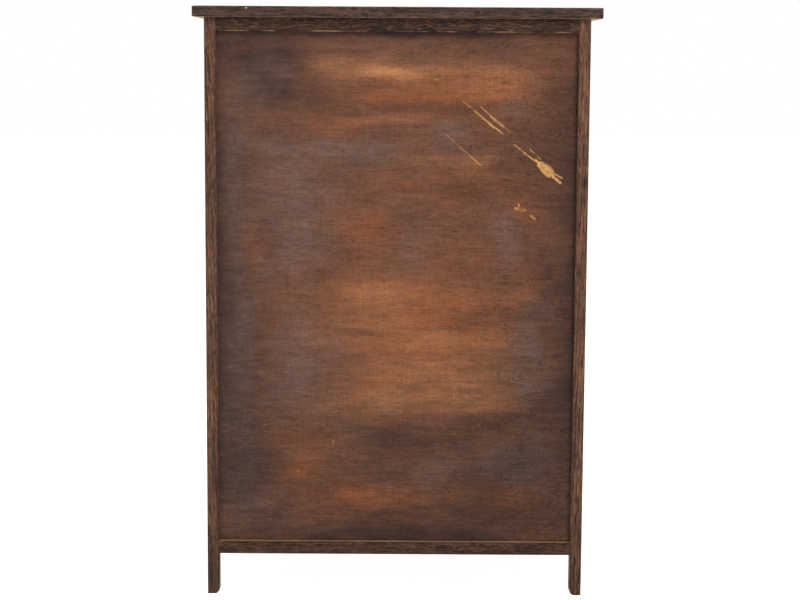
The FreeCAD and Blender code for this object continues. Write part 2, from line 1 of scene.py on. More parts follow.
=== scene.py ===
# %% [markdown]
# # A small chest of six drawers, seen from behind
#
# This lesson dresses a chest of drawers that is already built and measured. The construction comes
# from the frame: every board has its real size and place there. What is left to do is what a
# finisher does: ease the edges, choose the timber, stain it, wear it and light it.
#
# Loading the frame comes first, because every later step asks it where things are.

# %% Load the frame
import json
import math
import random
from collections import namedtuple

import bmesh
import bpy
from mathutils import Matrix, Vector


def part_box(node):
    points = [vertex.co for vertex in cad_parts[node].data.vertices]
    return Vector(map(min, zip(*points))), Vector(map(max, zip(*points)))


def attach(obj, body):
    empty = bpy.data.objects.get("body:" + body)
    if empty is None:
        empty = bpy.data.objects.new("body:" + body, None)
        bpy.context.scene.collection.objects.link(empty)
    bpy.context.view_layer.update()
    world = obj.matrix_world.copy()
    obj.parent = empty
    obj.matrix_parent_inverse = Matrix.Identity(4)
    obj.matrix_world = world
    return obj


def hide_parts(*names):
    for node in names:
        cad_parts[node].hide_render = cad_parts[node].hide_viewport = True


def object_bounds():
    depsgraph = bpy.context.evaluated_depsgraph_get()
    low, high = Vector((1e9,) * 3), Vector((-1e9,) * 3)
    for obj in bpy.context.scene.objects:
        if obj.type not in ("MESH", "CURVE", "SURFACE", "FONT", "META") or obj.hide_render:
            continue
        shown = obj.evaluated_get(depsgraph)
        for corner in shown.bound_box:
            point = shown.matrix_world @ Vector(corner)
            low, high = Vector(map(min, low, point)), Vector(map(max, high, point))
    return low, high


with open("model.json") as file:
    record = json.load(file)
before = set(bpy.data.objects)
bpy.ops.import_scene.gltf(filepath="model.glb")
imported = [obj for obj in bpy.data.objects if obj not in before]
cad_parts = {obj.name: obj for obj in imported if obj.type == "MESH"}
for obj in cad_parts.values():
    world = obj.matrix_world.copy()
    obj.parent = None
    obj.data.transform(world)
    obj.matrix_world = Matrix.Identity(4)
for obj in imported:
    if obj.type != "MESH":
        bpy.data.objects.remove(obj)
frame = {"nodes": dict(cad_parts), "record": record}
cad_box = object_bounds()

MM = 0.001
scene = bpy.context.scene
scene.view_settings.view_transform = "Standard"

# %% [markdown]
# ## The camera
#
# The chest stands with its back to us. A camera could be placed by eye, but four corners of the
# back are known sizes, so its place was worked out from them: straight behind the chest, a little
# under the height of the top, two metres away, and tilted down by seven degrees. A long lens keeps
# the uprights almost parallel, which is why it is written as a focal length and not as a zoom.

# %% Place the camera
CAMERA_PLACE = Vector((-2.05, 2044.7, 556.3)) * MM
CAMERA_TILT = -0.1282
CAMERA_TURN = -0.0011
CAMERA_ROLL = -0.0061
LENS = 83.62
SENSOR = 36

lens = bpy.data.cameras.new("back_view")
lens.sensor_width = SENSOR
lens.lens = LENS
camera = bpy.data.objects.new("back_view", lens)
scene.collection.objects.link(camera)
facing = Matrix.Rotation(math.pi + CAMERA_TURN, 4, "Z") @ Matrix.Rotation(CAMERA_TILT, 4, "X")
upright = Matrix.Rotation(CAMERA_ROLL, 4, "Y") @ Matrix.Rotation(math.pi / 2, 4, "X")
camera.matrix_world = Matrix.Translation(CAMERA_PLACE) @ facing @ upright
scene.camera = camera
print("camera", [round(v, 3) for v in camera.location], "m, lens", lens.lens, "mm")

# %% [markdown]
# ## Light and floor
#
# Furniture is photographed in a white tent: large soft lamps and a white floor. One big lamp
# could do it, but a back panel that sits in a frame needs to show its depth, so the main lamp
# stands to one side and above. The others only fill. The floor is plain pale paint. What the
# camera sees of it is lifted to white by Light Path, and the chest gets no more light from that.

# %% Lamps
DAYLIGHT = (1.0, 0.985, 0.965)


def lamp(name, place, watts, wide, high):
    """A soft rectangular lamp that looks at the middle of the chest."""
    light = bpy.data.lights.new(name, "AREA")
    light.shape = "RECTANGLE"
    light.size = wide
    light.size_y = high
    light.energy = watts
    light.color = DAYLIGHT
    holder = bpy.data.objects.new(name, light)
    scene.collection.objects.link(holder)
    holder.location = place
    middle = (cad_box[0] + cad_box[1]) / 2
    holder.rotation_euler = (middle - holder.location).to_track_quat("-Z", "Y").to_euler()
    return holder


lamps = [
    lamp("main_lamp", Vector((-0.9, 1.5, 2.2)), 47, 1.1, 0.9),
    lamp("left_fill", Vector((1.9, 1.7, 0.9)), 7, 1.2, 1.4),
    lamp("front_lamp", Vector((1.2, -2.0, 1.8)), 38, 1.2, 1.2),
    lamp("overhead", Vector((0.0, 0.2, 2.4)), 7, 1.6, 1.6),
]
print("lamps", [light.name for light in lamps])

# %% [markdown]
# ## A short way to write node trees
#
# Materials are trees of nodes. They could be drawn by hand in the shader editor, but what is
# written down can be read, changed and made again. These helpers keep it short: add() makes one
# node and fills its sockets by name, maths(), vectors() and measure() do sums, span() brings a
# value from one range to another, and mottle() is the cloudy noise that most masks start from.

# %% Nodes and sums


def feed(tree, socket, value):
    """Links an output to a socket, or sets the socket to a plain value."""
    if isinstance(value, bpy.types.NodeSocket):
        tree.links.new(value, socket)
    elif socket.type == "RGBA" and len(value) == 3:
        socket.default_value = (*value, 1.0)
    else:
        socket.default_value = value


def add(tree, kind, settings=None, **inputs):
    """One node. settings are its own properties, inputs are its sockets with _ for a space."""
    node = tree.nodes.new(f"ShaderNode{kind}")
    for key, value in (settings or {}).items():
        setattr(node, key, value)
    for key, value in inputs.items():
        feed(tree, node.inputs[key.replace("_", " ")], value)
    return node


def maths(tree, operation, *values, clamp=False):
    """The result of a Math node."""
    node = add(tree, "Math", {"operation": operation, "use_clamp": clamp})
    for socket, value in zip(node.inputs, values):
        feed(tree, socket, value)
    return node.outputs[0]


def product(tree, first, *others, clamp=False):
    """Values multiplied with each other."""
    for other in others:
        first = maths(tree, "MULTIPLY", first, other, clamp=clamp)
    return first


print("helpers for nodes and sums are ready")

# %% Vectors, spans and noise


def vectors(tree, operation, *values, output="Vector"):
    """The vector that comes out of a Vector Math node."""
    node = add(tree, "VectorMath", {"operation": operation})
    for socket, value in zip(node.inputs, values):
        feed(tree, socket, value)
    return node.outputs[output]


def measure(tree, operation, *values):
    """The number that comes out of a Vector Math node, such as a length or a dot product."""
    return vectors(tree, operation, *values, output="Value")


def scaled(tree, place, factor):
    """A vector made longer by one factor."""
    vector = vectors(tree, "SCALE", place)
    feed(tree, vector.node.inputs["Scale"], factor)
    return vector


def span(tree, value, low, high, start=0.0, end=1.0):
    """A value between low and high, brought smoothly to start and end."""
    node = add(tree, "MapRange", {"interpolation_type": "SMOOTHSTEP"}, Value=value)
    for name, number in (("From Min", low), ("From Max", high), ("To Min", start), ("To Max", end)):
        feed(tree, node.inputs[name], number)
    return node.outputs["Result"]


def noise(tree, place, detail, roughness=0.5):
    """A noise that repeats about once per unit of the place given."""
    return add(
        tree, "TexNoise", {"noise_dimensions": "3D"},
        Vector=place, Scale=1.0, Detail=detail, Roughness=roughness,
    )


def mottle(tree, place, per_metre, detail=2.0, roughness=0.5):
    """A cloudy value around one half, with so many clouds in a metre along each axis."""
    stretched = vectors(tree, "MULTIPLY", place, per_metre)
    return noise(tree, stretched, detail, roughness).outputs["Fac"]


def blend_colours(tree, amount, first, second, how="MIX"):
    """Two colours mixed by an amount."""
    node = add(tree, "Mix", {"data_type": "RGBA", "blend_type": how, "clamp_result": True})
    feed(tree, node.inputs[0], amount)
    feed(tree, node.inputs[6], first)
    feed(tree, node.inputs[7], second)
    return node.outputs[2]


print("helpers for vectors, spans and noise are ready")

# %% Attributes, groups and materials


def attribute(tree, name):
    """A vector that the meshes carry."""
    return add(tree, "Attribute", {"attribute_name": name}).outputs["Vector"]


def group_tree(name, inputs, outputs):
    """An empty node group, with what comes in and what goes out. Returns its tree and both ends."""
    tree = bpy.data.node_groups.new(name, "ShaderNodeTree")
    for label, kind, value in inputs:
        kind = f"NodeSocket{kind}"
        socket = tree.interface.new_socket(name=label, in_out="INPUT", socket_type=kind)
        socket.default_value = value
    for label in outputs:
        tree.interface.new_socket(name=label, in_out="OUTPUT", socket_type="NodeSocketFloat")
    given = tree.nodes.new("NodeGroupInput").outputs
    result = tree.nodes.new("NodeGroupOutput").inputs
    return tree, given, result


def use(tree, group, **inputs):
    """Places a node group in a tree and returns its outputs."""
    node = tree.nodes.new("ShaderNodeGroup")
    node.node_tree = group
    for key, value in inputs.items():
        feed(tree, node.inputs[key.replace("_", " ")], value)
    return node.outputs


def new_material(name, roughness):
    """An empty material with its Principled shader."""
    material = bpy.data.materials.new(f"{name}_finish")
    material.use_nodes = True
    shader = material.node_tree.nodes["Principled BSDF"]
    shader.inputs["Roughness"].default_value = roughness
    return material, material.node_tree, shader


def base_colour(material, colour):
    """Gives a material its colour, or a new one."""
    tree = material.node_tree
    feed(tree, tree.nodes["Principled BSDF"].inputs["Base Color"], colour)


def relief(tree, shader, height, strength, distance):
    """Raises and sinks a surface a little, by a height from its own pattern."""
    bump = add(tree, "Bump", Strength=strength, Distance=distance, Height=height)
    feed(tree, shader.inputs["Normal"], bump.outputs["Normal"])


print("helpers for groups and materials are ready")

# %% [markdown]
# ## The floor and what lies behind
#
# The photograph's ground is pure white. More light on the floor would make it white too, but it
# would wash out the chest. So the floor's paint is mixed with a plain glow that only the camera,
# mirrors and glass see, and the world behind it is made in the same way.

# %% Floor and world
FLOOR_SIZE = 24.0
SEEN_SHARE = 0.6
SEEN_BRIGHTNESS = 1.6


def backdrop_rays(tree):
    """1 for the rays that show the backdrop: to the camera, in a reflection or through glass."""
    rays = add(tree, "LightPath").outputs
    seen = maths(tree, "MAXIMUM", rays["Is Camera Ray"], rays["Is Glossy Ray"])
    return maths(tree, "MAXIMUM", seen, rays["Is Transmission Ray"])


def white_floor():
    """A pale floor whose brightness, as the camera and mirrors see it, is nearly white."""
    mesh = bpy.data.meshes.new("floor")
    half = FLOOR_SIZE / 2
    corners = [(-half, -half, 0), (half, -half, 0), (half, half, 0), (-half, half, 0)]
    mesh.from_pydata(corners, [], [(0, 1, 2, 3)])
    floor = bpy.data.objects.new("floor", mesh)
    scene.collection.objects.link(floor)
    material = bpy.data.materials.new("floor_paint")
    material.use_nodes = True
    tree = material.node_tree
    tree.nodes.clear()
    paint = add(tree, "BsdfDiffuse", Color=(0.86, 0.86, 0.855))
    bright = add(tree, "Emission", Color=(1.0, 1.0, 1.0), Strength=SEEN_BRIGHTNESS)
    seen = backdrop_rays(tree)
    share = product(tree, seen, SEEN_SHARE)
    both = add(tree, "MixShader")
    feed(tree, both.inputs[0], share)
    feed(tree, both.inputs[1], paint.outputs[0])
    feed(tree, both.inputs[2], bright.outputs[0])
    out = add(tree, "OutputMaterial")
    tree.links.new(both.outputs[0], out.inputs["Surface"])
    floor.data.materials.append(material)
    return floor


def soft_world(fill):
    """Even light from all round. The camera and mirrors see it as white."""
    world = bpy.data.worlds.new("tent")
    scene.world = world
    world.use_nodes = True
    tree = world.node_tree
    sky = tree.nodes["Background"]
    sky.inputs["Color"].default_value = (1.0, 1.0, 1.0, 1.0)
    feed(tree, sky.inputs["Strength"], span(tree, backdrop_rays(tree), 0.0, 1.0, fill, 1.0))


white_floor()
soft_world(0.3)
print("floor and world in place")

# %% [markdown]
# ## Where a board was cut from
#
# A board shows lines because it is cut through the yearly layers of a trunk. An image of wood
# could be laid on each face, but then the lines would not run round the corners. So each board is
# placed in a trunk of its own: its mesh carries `log_place`, the place of every point in that
# trunk, and the material asks how far that is from the heart. The end grain comes out by itself.
#
# Two more vectors go along. `board_place` is measured from the middle of the board, along the
# grain first, and `board_half` is half of its size. Together they tell how far an edge is.

# %% A board and its trunk
ALONG_X, ALONG_Y, ALONG_Z = 0, 1, 2
# Where the middle of a board may lie in its trunk, along the heart and beside it twice, in metres
PLACES = ((0, 5), (-0.02, 0.02), (0.025, 0.06))
# How many degrees it may be tilted and lean there
TILT = (0.8, 2.4)
LEAN = (-0.8, 0.8)


def grain_direction(node, size):
    """The axis along which the grain of a piece runs: its longest side, with two exceptions."""
    if node == "back_panel" or node.endswith("_knobs"):
        return ALONG_X
    if node.startswith("side_panel"):
        return ALONG_Z
    return max(range(3), key=lambda axis: size[axis])


def board_axes(node, size):
    """The board's own axes: along the grain, across the wide face, through the thickness."""
    along = grain_direction(node, size)
    rest = [axis for axis in range(3) if axis != along]
    rest.sort(key=lambda axis: size[axis], reverse=True)
    return along, rest[0], rest[1]


class Trunk:
    """Where a board sits in its trunk. The draws depend only on the board's name and number."""

    def __init__(self, node, number, low, high):
        self.draw = draw = random.Random(f"{node}-{number}")
        self.middle = (low + high) / 2
        self.axes = board_axes(node, high - low)
        self.half = Vector([(high - low)[axis] / 2 for axis in self.axes])
        self.heart = Vector([draw.uniform(*reach) for reach in PLACES])
        tilt = math.radians(draw.uniform(*TILT)) * draw.choice((-1, 1))
        lean = math.radians(draw.uniform(*LEAN))
        self.turn = Matrix.Rotation(tilt, 3, "Y") @ Matrix.Rotation(lean, 3, "Z")

    def on_board(self, point):
        """A point in the board's own axes."""
        return Vector([(point - self.middle)[axis] for axis in self.axes])

    def in_trunk(self, point):
        """A point as a place in the trunk."""
        return self.turn @ self.on_board(point) + self.heart


print("grain runs along the longest side of each board")

# %% Write the grain


def islands(mesh):
    """The separate solids of a mesh, as lists of vertices."""
    left = set(mesh.verts)
    found = []
    while left:
        stack = [left.pop()]
        island = []
        while stack:
            vert = stack.pop()
            island.append(vert)
            for edge in vert.link_edges:
                other = edge.other_vert(vert)
                if other in left:
                    left.remove(other)
                    stack.append(other)
        found.append(island)
    found.sort(key=lambda group: min(tuple(round(v, 4) for v in vert.co) for vert in group))
    return found


def box_of(verts):
    """Lowest and highest corner of some vertices."""
    low = Vector([min(vert.co[axis] for vert in verts) for axis in range(3)])
    high = Vector([max(vert.co[axis] for vert in verts) for axis in range(3)])
    return low, high


def stain_depth(node, draw):
    """How dark a board took the stain, from 0 to 1. Rails took more of it than posts."""
    if node == "back_top_rail":
        return draw.uniform(0.96, 1.0)
    if "rail" in node and node.startswith(("back_bottom", "side_", "front_")):
        return draw.uniform(0.72, 0.78)
    if node.startswith("post"):
        return draw.uniform(0.2, 0.3)
    return draw.uniform(0.0, 0.3)


def write_grain(mesh, node):
    """Gives every vertex its place in board and trunk, and how the board was finished."""
    layers = mesh.verts.layers.float_vector
    log_place, board_place, board_half, board_finish = (
        layers.new(name) for name in ("log_place", "board_place", "board_half", "board_finish")
    )
    for number, island in enumerate(islands(mesh)):
        trunk = Trunk(node, number, *box_of(island))
        depth = stain_depth(node, trunk.draw)
        finish = Vector((depth, node == "back_bottom_rail", node == "top_board"))
        for vert in island:
            vert[board_place] = trunk.on_board(vert.co)
            vert[board_half] = trunk.half
            vert[log_place] = trunk.in_trunk(vert.co)
            vert[board_finish] = finish


print("write_grain() is ready")

# %% [markdown]
# ## Easing the edges
#
# No hand tool leaves a perfectly sharp corner, and a sharp corner catches no light. A bevel
# modifier on everything would also open a groove round each joint. Here only the long outer
# corners of a board are eased, the ones that lie on two faces of its bounding box, as a plane
# stroke along each would do.

# %% Ease the corners of a board
EASE = 0.45 * MM
FLAT = math.radians(1.0)
SHARP = math.radians(30.0)
TOUCH = 0.02 * MM


def outer_corner(edge, low, high):
    """True if an edge lies on two faces of the board's box."""
    faces = 0
    for axis in range(3):
        for limit in (low[axis], high[axis]):
            if all(abs(vert.co[axis] - limit) < TOUCH for vert in edge.verts):
                faces += 1
    return faces == 2


def ease_corners(mesh, amount):
    """Rounds the outer corners of every solid in a mesh."""
    chosen = []
    for island in islands(mesh):
        low, high = box_of(island)
        edges = {edge for vert in island for edge in vert.link_edges}
        for edge in edges:
            sharp = len(edge.link_faces) == 2 and edge.calc_face_angle() > SHARP
            if sharp and outer_corner(edge, low, high):
                chosen.append(edge)
    chosen.sort(key=lambda edge: edge.index)
    bmesh.ops.bevel(
        mesh, geom=chosen, offset=amount, offset_type="OFFSET", segments=2, profile=0.5,
        affect="EDGES", clamp_overlap=True,
    )
    return len(chosen)


print("corners are eased by", EASE / MM, "mm")

# %% A clean copy, and a visible piece


def clean_copy(node):
    """A mesh of a node with its flat faces whole again."""
    mesh = bmesh.new()
    mesh.from_mesh(frame["nodes"][node].data)
    bmesh.ops.remove_doubles(mesh, verts=mesh.verts, dist=0.002 * MM)
    bmesh.ops.dissolve_limit(mesh, angle_limit=FLAT, verts=mesh.verts, edges=mesh.edges)
    mesh.verts.index_update()
    mesh.edges.index_update()
    return mesh


def finish_piece(mesh, name, nodes, body, material):
    """Turns a bmesh into a visible piece that stands for its nodes and moves with its body."""
    data = bpy.data.meshes.new(name)
    mesh.to_mesh(data)
    mesh.free()
    data.materials.append(material)
    piece = bpy.data.objects.new(name, data)
    scene.collection.objects.link(piece)
    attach(piece, body)
    if nodes:
        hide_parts(*nodes)
    return piece


print("copies and pieces can be made")

# %% [markdown]
# ## Layers of a trunk
#
# Each year a tree lays down a pale band full of pores and a dense dark one. The distance from the
# heart, divided by the width of a year, gives the number of the ring and how far through it a
# point is. A trunk is never round, so the place is first swayed slowly, and then feathered: elm
# and ash have a short ripple across the rings that shows as flames and herringbone on the face.
# The group keeps all this in one place, and each timber gives it other widths.

# %% Node group: log rings


def log_rings_group():
    """How dark a ring is, how one ring differs from the next, and where the pores are."""
    tree, given, result = group_tree(
        "log rings",
        (
            ("Place", "Vector", (0, 0, 0)),
            ("Ring Width", "Float", 0.003),
            ("Sway", "Float", 0.01),
            ("Feather", "Float", 0.0008),
        ),
        ("Ring", "Year", "Pores"),
    )
    place = given["Place"]
    slow = noise(tree, vectors(tree, "MULTIPLY", place, (3.2, 14, 14)), 2.0).outputs["Color"]
    slow = vectors(tree, "SUBTRACT", slow, (0.5, 0.5, 0.5))
    swayed = vectors(tree, "ADD", place, scaled(tree, slow, given["Sway"]))
    quick = mottle(tree, place, (85, 190, 190), 2.0, 0.6)
    ripple = product(tree, maths(tree, "SUBTRACT", quick, 0.5), given["Feather"])
    across = measure(tree, "LENGTH", vectors(tree, "MULTIPLY", swayed, (0, 1, 1)))
    years = maths(tree, "DIVIDE", maths(tree, "ADD", across, ripple), given["Ring Width"])
    part = maths(tree, "FRACT", years)
    early = span(tree, part, 0.0, 0.55, 1.0, 0.0)
    late = span(tree, part, 0.86, 1.0)
    ring = maths(tree, "MAXIMUM", early, late)
    feed(tree, result["Ring"], ring)
    year = add(tree, "TexWhiteNoise", {"noise_dimensions": "1D"}, W=maths(tree, "FLOOR", years))
    feed(tree, result["Year"], year.outputs["Value"])
    specks = mottle(tree, swayed, (75, 1500, 1500), 1.0)
    pores = span(tree, specks, 0.55, 0.68)
    feed(tree, result["Pores"], product(tree, pores, span(tree, ring, 0.0, 1.0, 0.25, 1.0)))
    return tree


log_rings = log_rings_group()
print("group", log_rings.name)

# %% [markdown]
# ## Distance from an edge
#
# Wear and stain both gather at edges. The usual trick reads the curvature of the mesh, which
# needs many vertices. A board is a box, so there is a simpler way: on its surface one of the
# three gaps to the faces of the box is zero, and the next larger gap is the distance from the
# nearest edge.

# %% Node groups: board edge and worn edge


def board_edge_group():
    """The distance in metres from a point of a board to its nearest edge."""
    tree, given, result = group_tree(
        "board edge",
        (("Place", "Vector", (0, 0, 0)), ("Half", "Vector", (1, 1, 1))),
        ("Distance",),
    )
    gaps = vectors(tree, "SUBTRACT", given["Half"], vectors(tree, "ABSOLUTE", given["Place"]))
    along, wide, thick = add(tree, "SeparateXYZ", Vector=gaps).outputs
    low = maths(tree, "MINIMUM", along, wide)
    high = maths(tree, "MAXIMUM", along, wide)
    feed(tree, result["Distance"], maths(tree, "MAXIMUM", low, maths(tree, "MINIMUM", high, thick)))
    return tree


RAGGED_REACH = 4.0


def worn_edge_group(board_edge):
    """A ragged band along the edges: 1 at the edge, 0 inside."""
    tree, given, result = group_tree(
        "worn edge",
        (
            ("Place", "Vector", (0, 0, 0)),
            ("Half", "Vector", (1, 1, 1)),
            ("Width", "Float", 0.001),
            ("Raggedness", "Float", 1.0),
            ("Patch Size", "Float", 0.012),
        ),
        ("Mask",),
    )
    distance = use(tree, board_edge, Place=given["Place"], Half=given["Half"])["Distance"]
    patches = scaled(tree, given["Place"], maths(tree, "DIVIDE", 1.0, given["Patch Size"]))
    cloud = noise(tree, patches, 3.0, 0.6).outputs["Fac"]
    rough = maths(tree, "SUBTRACT", cloud, 0.5)
    push = product(tree, rough, given["Raggedness"], given["Width"], RAGGED_REACH)
    edge = maths(tree, "ADD", distance, push)
    share = maths(tree, "DIVIDE", edge, given["Width"])
    feed(tree, result["Mask"], span(tree, share, 0.0, 1.0, 1.0, 0.0))
    return tree


board_edge = board_edge_group()
worn_edge = worn_edge_group(board_edge)
print("groups", board_edge.name, "and", worn_edge.name)

# %% [markdown]
# ## Patches, spots and scratches
#
# Stain that is wiped on by hand dries in long soft patches, thin veneer shows fine streaks, and
# years of moving leave scratches. An image could hold them all, but three small groups keep every
# one of them a shape that can be moved. A patch or a streak is noise that is stretched along the
# grain. A spot fades out from its centre, and a scratch is the distance from a line between two
# points, roughened so that the flakes at its rim don't look drawn, with a scuffed rim of its own.

# %% Node groups: wiped patch and soft spot


def wiped_patch_group():
    """Soft patches of a given length and height, from 0 to 1."""
    tree, given, result = group_tree(
        "wiped patch",
        (
            ("Place", "Vector", (0, 0, 0)),
            ("Length", "Float", 0.15),
            ("Height", "Float", 0.03),
            ("Seed", "Float", 0.0),
            ("Detail", "Float", 3.0),
            ("Level", "Float", 0.5),
            ("Contrast", "Float", 0.2),
        ),
        ("Mask",),
    )
    along = maths(tree, "DIVIDE", 1.0, given["Length"])
    across = maths(tree, "DIVIDE", 1.0, given["Height"])
    stretch = add(tree, "CombineXYZ", X=along, Y=across, Z=across).outputs["Vector"]
    seed = given["Seed"]
    moved = add(tree, "CombineXYZ", X=seed, Y=seed, Z=seed).outputs["Vector"]
    place = vectors(tree, "ADD", vectors(tree, "MULTIPLY", given["Place"], stretch), moved)
    cloud = noise(tree, place, given["Detail"], 0.55).outputs["Fac"]
    low = maths(tree, "SUBTRACT", given["Level"], given["Contrast"])
    high = maths(tree, "ADD", given["Level"], given["Contrast"])
    feed(tree, result["Mask"], span(tree, cloud, low, high))
    return tree


def soft_spot_group():
    """A spot that fades from 1 at its centre to 0 at its reach."""
    tree, given, result = group_tree(
        "soft spot",
        (
            ("Place", "Vector", (0, 0, 0)),
            ("Centre", "Vector", (0, 0, 0)),
            ("Reach", "Vector", (0.01, 0.01, 0.01)),
        ),
        ("Mask",),
    )
    away = vectors(tree, "SUBTRACT", given["Place"], given["Centre"])
    distance = measure(tree, "LENGTH", vectors(tree, "DIVIDE", away, given["Reach"]))
    feed(tree, result["Mask"], span(tree, distance, 0.0, 1.0, 1.0, 0.0))
    return tree


wiped_patch = wiped_patch_group()
soft_spot = soft_spot_group()
print("groups", wiped_patch.name, "and", soft_spot.name)

# %% Node group: long mark
SCUFF_WIDTH = 0.0008


def long_mark_group():
    """A scratch from one point to another, ragged and broken here and there."""
    tree, given, result = group_tree(
        "long mark",
        (
            ("Place", "Vector", (0, 0, 0)),
            ("Start", "Vector", (0, 0, 0)),
            ("End", "Vector", (1, 0, 0)),
            ("Width", "Float", 0.001),
            ("Breaks", "Float", 0.3),
            ("Raggedness", "Float", 0.7),
        ),
        ("Mask", "Scuff"),
    )
    line = vectors(tree, "SUBTRACT", given["End"], given["Start"])
    away = vectors(tree, "SUBTRACT", given["Place"], given["Start"])
    length = measure(tree, "DOT_PRODUCT", line, line)
    share = maths(tree, "DIVIDE", measure(tree, "DOT_PRODUCT", away, line), length, clamp=True)
    foot = scaled(tree, line, share)
    distance = measure(tree, "LENGTH", vectors(tree, "SUBTRACT", away, foot))
    flake = mottle(tree, given["Place"], (700, 700, 0), 3.0, 0.7)
    uneven = product(tree, span(tree, flake, 0.3, 0.7, -1.0, 1.0), given["Raggedness"])
    width = product(tree, given["Width"], maths(tree, "ADD", uneven, 1.0))
    away = maths(tree, "DIVIDE", distance, width)
    gap = mottle(tree, given["Place"], (160, 160, 0), 2.0)
    gap = maths(tree, "SUBTRACT", gap, given["Breaks"])
    core = product(tree, span(tree, away, 0.5, 0.95, 1.0, 0.0), span(tree, gap, 0.0, 0.08))
    feed(tree, result["Mask"], core)
    rim = maths(tree, "SUBTRACT", distance, product(tree, width, 0.8))
    rim = product(tree, span(tree, rim, 0.0, SCUFF_WIDTH, 1.0, 0.0), span(tree, gap, -0.14, 0.06))
    feed(tree, result["Scuff"], rim)
    return tree


long_mark = long_mark_group()
print("group", long_mark.name)

# %% [markdown]
# ## Stained coarse timber
#
# The frame is a coarse ring-porous timber, stained dark. The stain sinks into the open early wood
# and the pores, so the rings show as dark lines on a lighter brown ground. It also gathers along
# the edges of the frame, while hands have rubbed those of the drawer fronts pale. A picture of
# such wood would repeat, so one function makes the material, and each use gives it its own tones.

# %% Colours, shades and streaks


def linear(red, green, blue):
    """A colour as mixed on a paint card, 0 to 255, in the linear values that shaders use."""
    def channel(value):
        value /= 255
        return value / 12.92 if value <= 0.04045 else ((value + 0.055) / 1.055) ** 2.4

    return channel(red), channel(green), channel(blue)


def tinted(tree, colour, shade):
    """A colour made lighter or darker by a factor."""
    grey = add(tree, "CombineColor", Red=shade, Green=shade, Blue=shade).outputs["Color"]
    return blend_colours(tree, 1.0, colour, grey, "MULTIPLY")


def wavy(tree, place, size, amount):
    """A place pushed about by a soft noise, so that what is drawn with it isn't straight."""
    push = noise(tree, vectors(tree, "MULTIPLY", place, size), 2.0).outputs["Color"]
    push = vectors(tree, "MULTIPLY", vectors(tree, "SUBTRACT", push, (0.5, 0.5, 0.5)), amount)
    return vectors(tree, "ADD", place, push)


def face_up(tree):
    """How far the surface looks up: 1 on a level face, 0 on an upright one, -1 underneath."""
    return add(tree, "SeparateXYZ", Vector=add(tree, "NewGeometry").outputs["Normal"]).outputs["Z"]


def streak(tree, place, length, height, seed, level, contrast):
    """Short streaks along the grain, from 0 to 1."""
    return use(
        tree, wiped_patch,
        Place=place, Length=length, Height=height, Seed=seed, Level=level, Contrast=contrast,
    )["Mask"]


print("half way on a paint card is", round(linear(128, 128, 128)[0], 3), "of the light")

# %% Grain and stain of a timber
# The colours of a timber: ground, light ground, dark streak, pore and edge
Tones = namedtuple("Tones", "ground light line pore edge")
UNSTAINED = linear(186, 146, 108)
BARE_UNDER = linear(214, 182, 150)
# How far a face looks up, from which it counts as lying level, and how far down
LEVEL = (0.9, 0.97)
HANGING = (-0.97, -0.9)
# How much of its light a board keeps where the stain went in deepest
DEEPEST_STAIN = 0.23


def grain(tree, tones, log, curled, ring_width, feather, lines, flecks):
    """The colour of rings, flecks and pores, and where each of them is."""
    sanded = span(tree, face_up(tree), *LEVEL, 1.0, 0.5)
    rings = use(tree, log_rings, Place=log, Ring_Width=ring_width, Feather=feather, Sway=0.012)
    patch = use(tree, wiped_patch, Place=log, Length=0.06, Height=0.012, Seed=3.0)["Mask"]
    colour = blend_colours(tree, patch, tones.ground, tones.light)
    year = span(tree, rings["Year"], 0.0, 1.0, 0.35, 1.0)
    line = product(tree, rings["Ring"], year, sanded, lines)
    colour = blend_colours(tree, line, colour, tones.line)
    dash = streak(tree, curled, 0.024, 0.0017, 7.0, 0.55, 0.07)
    short = streak(tree, curled, 0.008, 0.0009, 2.0, 0.54, 0.08)
    fleck = maths(tree, "MAXIMUM", dash, product(tree, short, 0.7))
    fleck = product(tree, fleck, sanded, flecks)
    colour = blend_colours(tree, fleck, colour, tones.line)
    pores = rings["Pores"]
    return blend_colours(tree, product(tree, pores, 0.6), colour, tones.pore), line, fleck, pores


def stained(tree, colour, tones, curled, depth):
    """Darkens a board by how deep the stain went in, all but a few light streaks."""
    colour = tinted(tree, colour, span(tree, depth, 0.0, 1.0, 1.0, DEEPEST_STAIN))
    glint = product(tree, streak(tree, curled, 0.008, 0.001, 11.0, 0.58, 0.06), depth, 0.42)
    return blend_colours(tree, glint, colour, tones.light)


def missed(tree, colour, board, above, below):
    """Bare wood where a board was left unstained: above in thin patches, and below all over."""
    up = face_up(tree)
    thin = use(
        tree, wiped_patch, Place=board, Length=0.09, Height=0.09, Seed=3.3, Contrast=0.25
    )["Mask"]
    thin = span(tree, thin, 0.0, 1.0, 0.4, 0.9)
    bare = product(tree, span(tree, up, *LEVEL), above, thin)
    colour = blend_colours(tree, bare, colour, UNSTAINED)
    bare = product(tree, span(tree, up, *HANGING, 1.0, 0.0), below)
    return blend_colours(tree, bare, colour, BARE_UNDER)


print("a timber has the tones", *Tones._fields)

# %% Material: timber


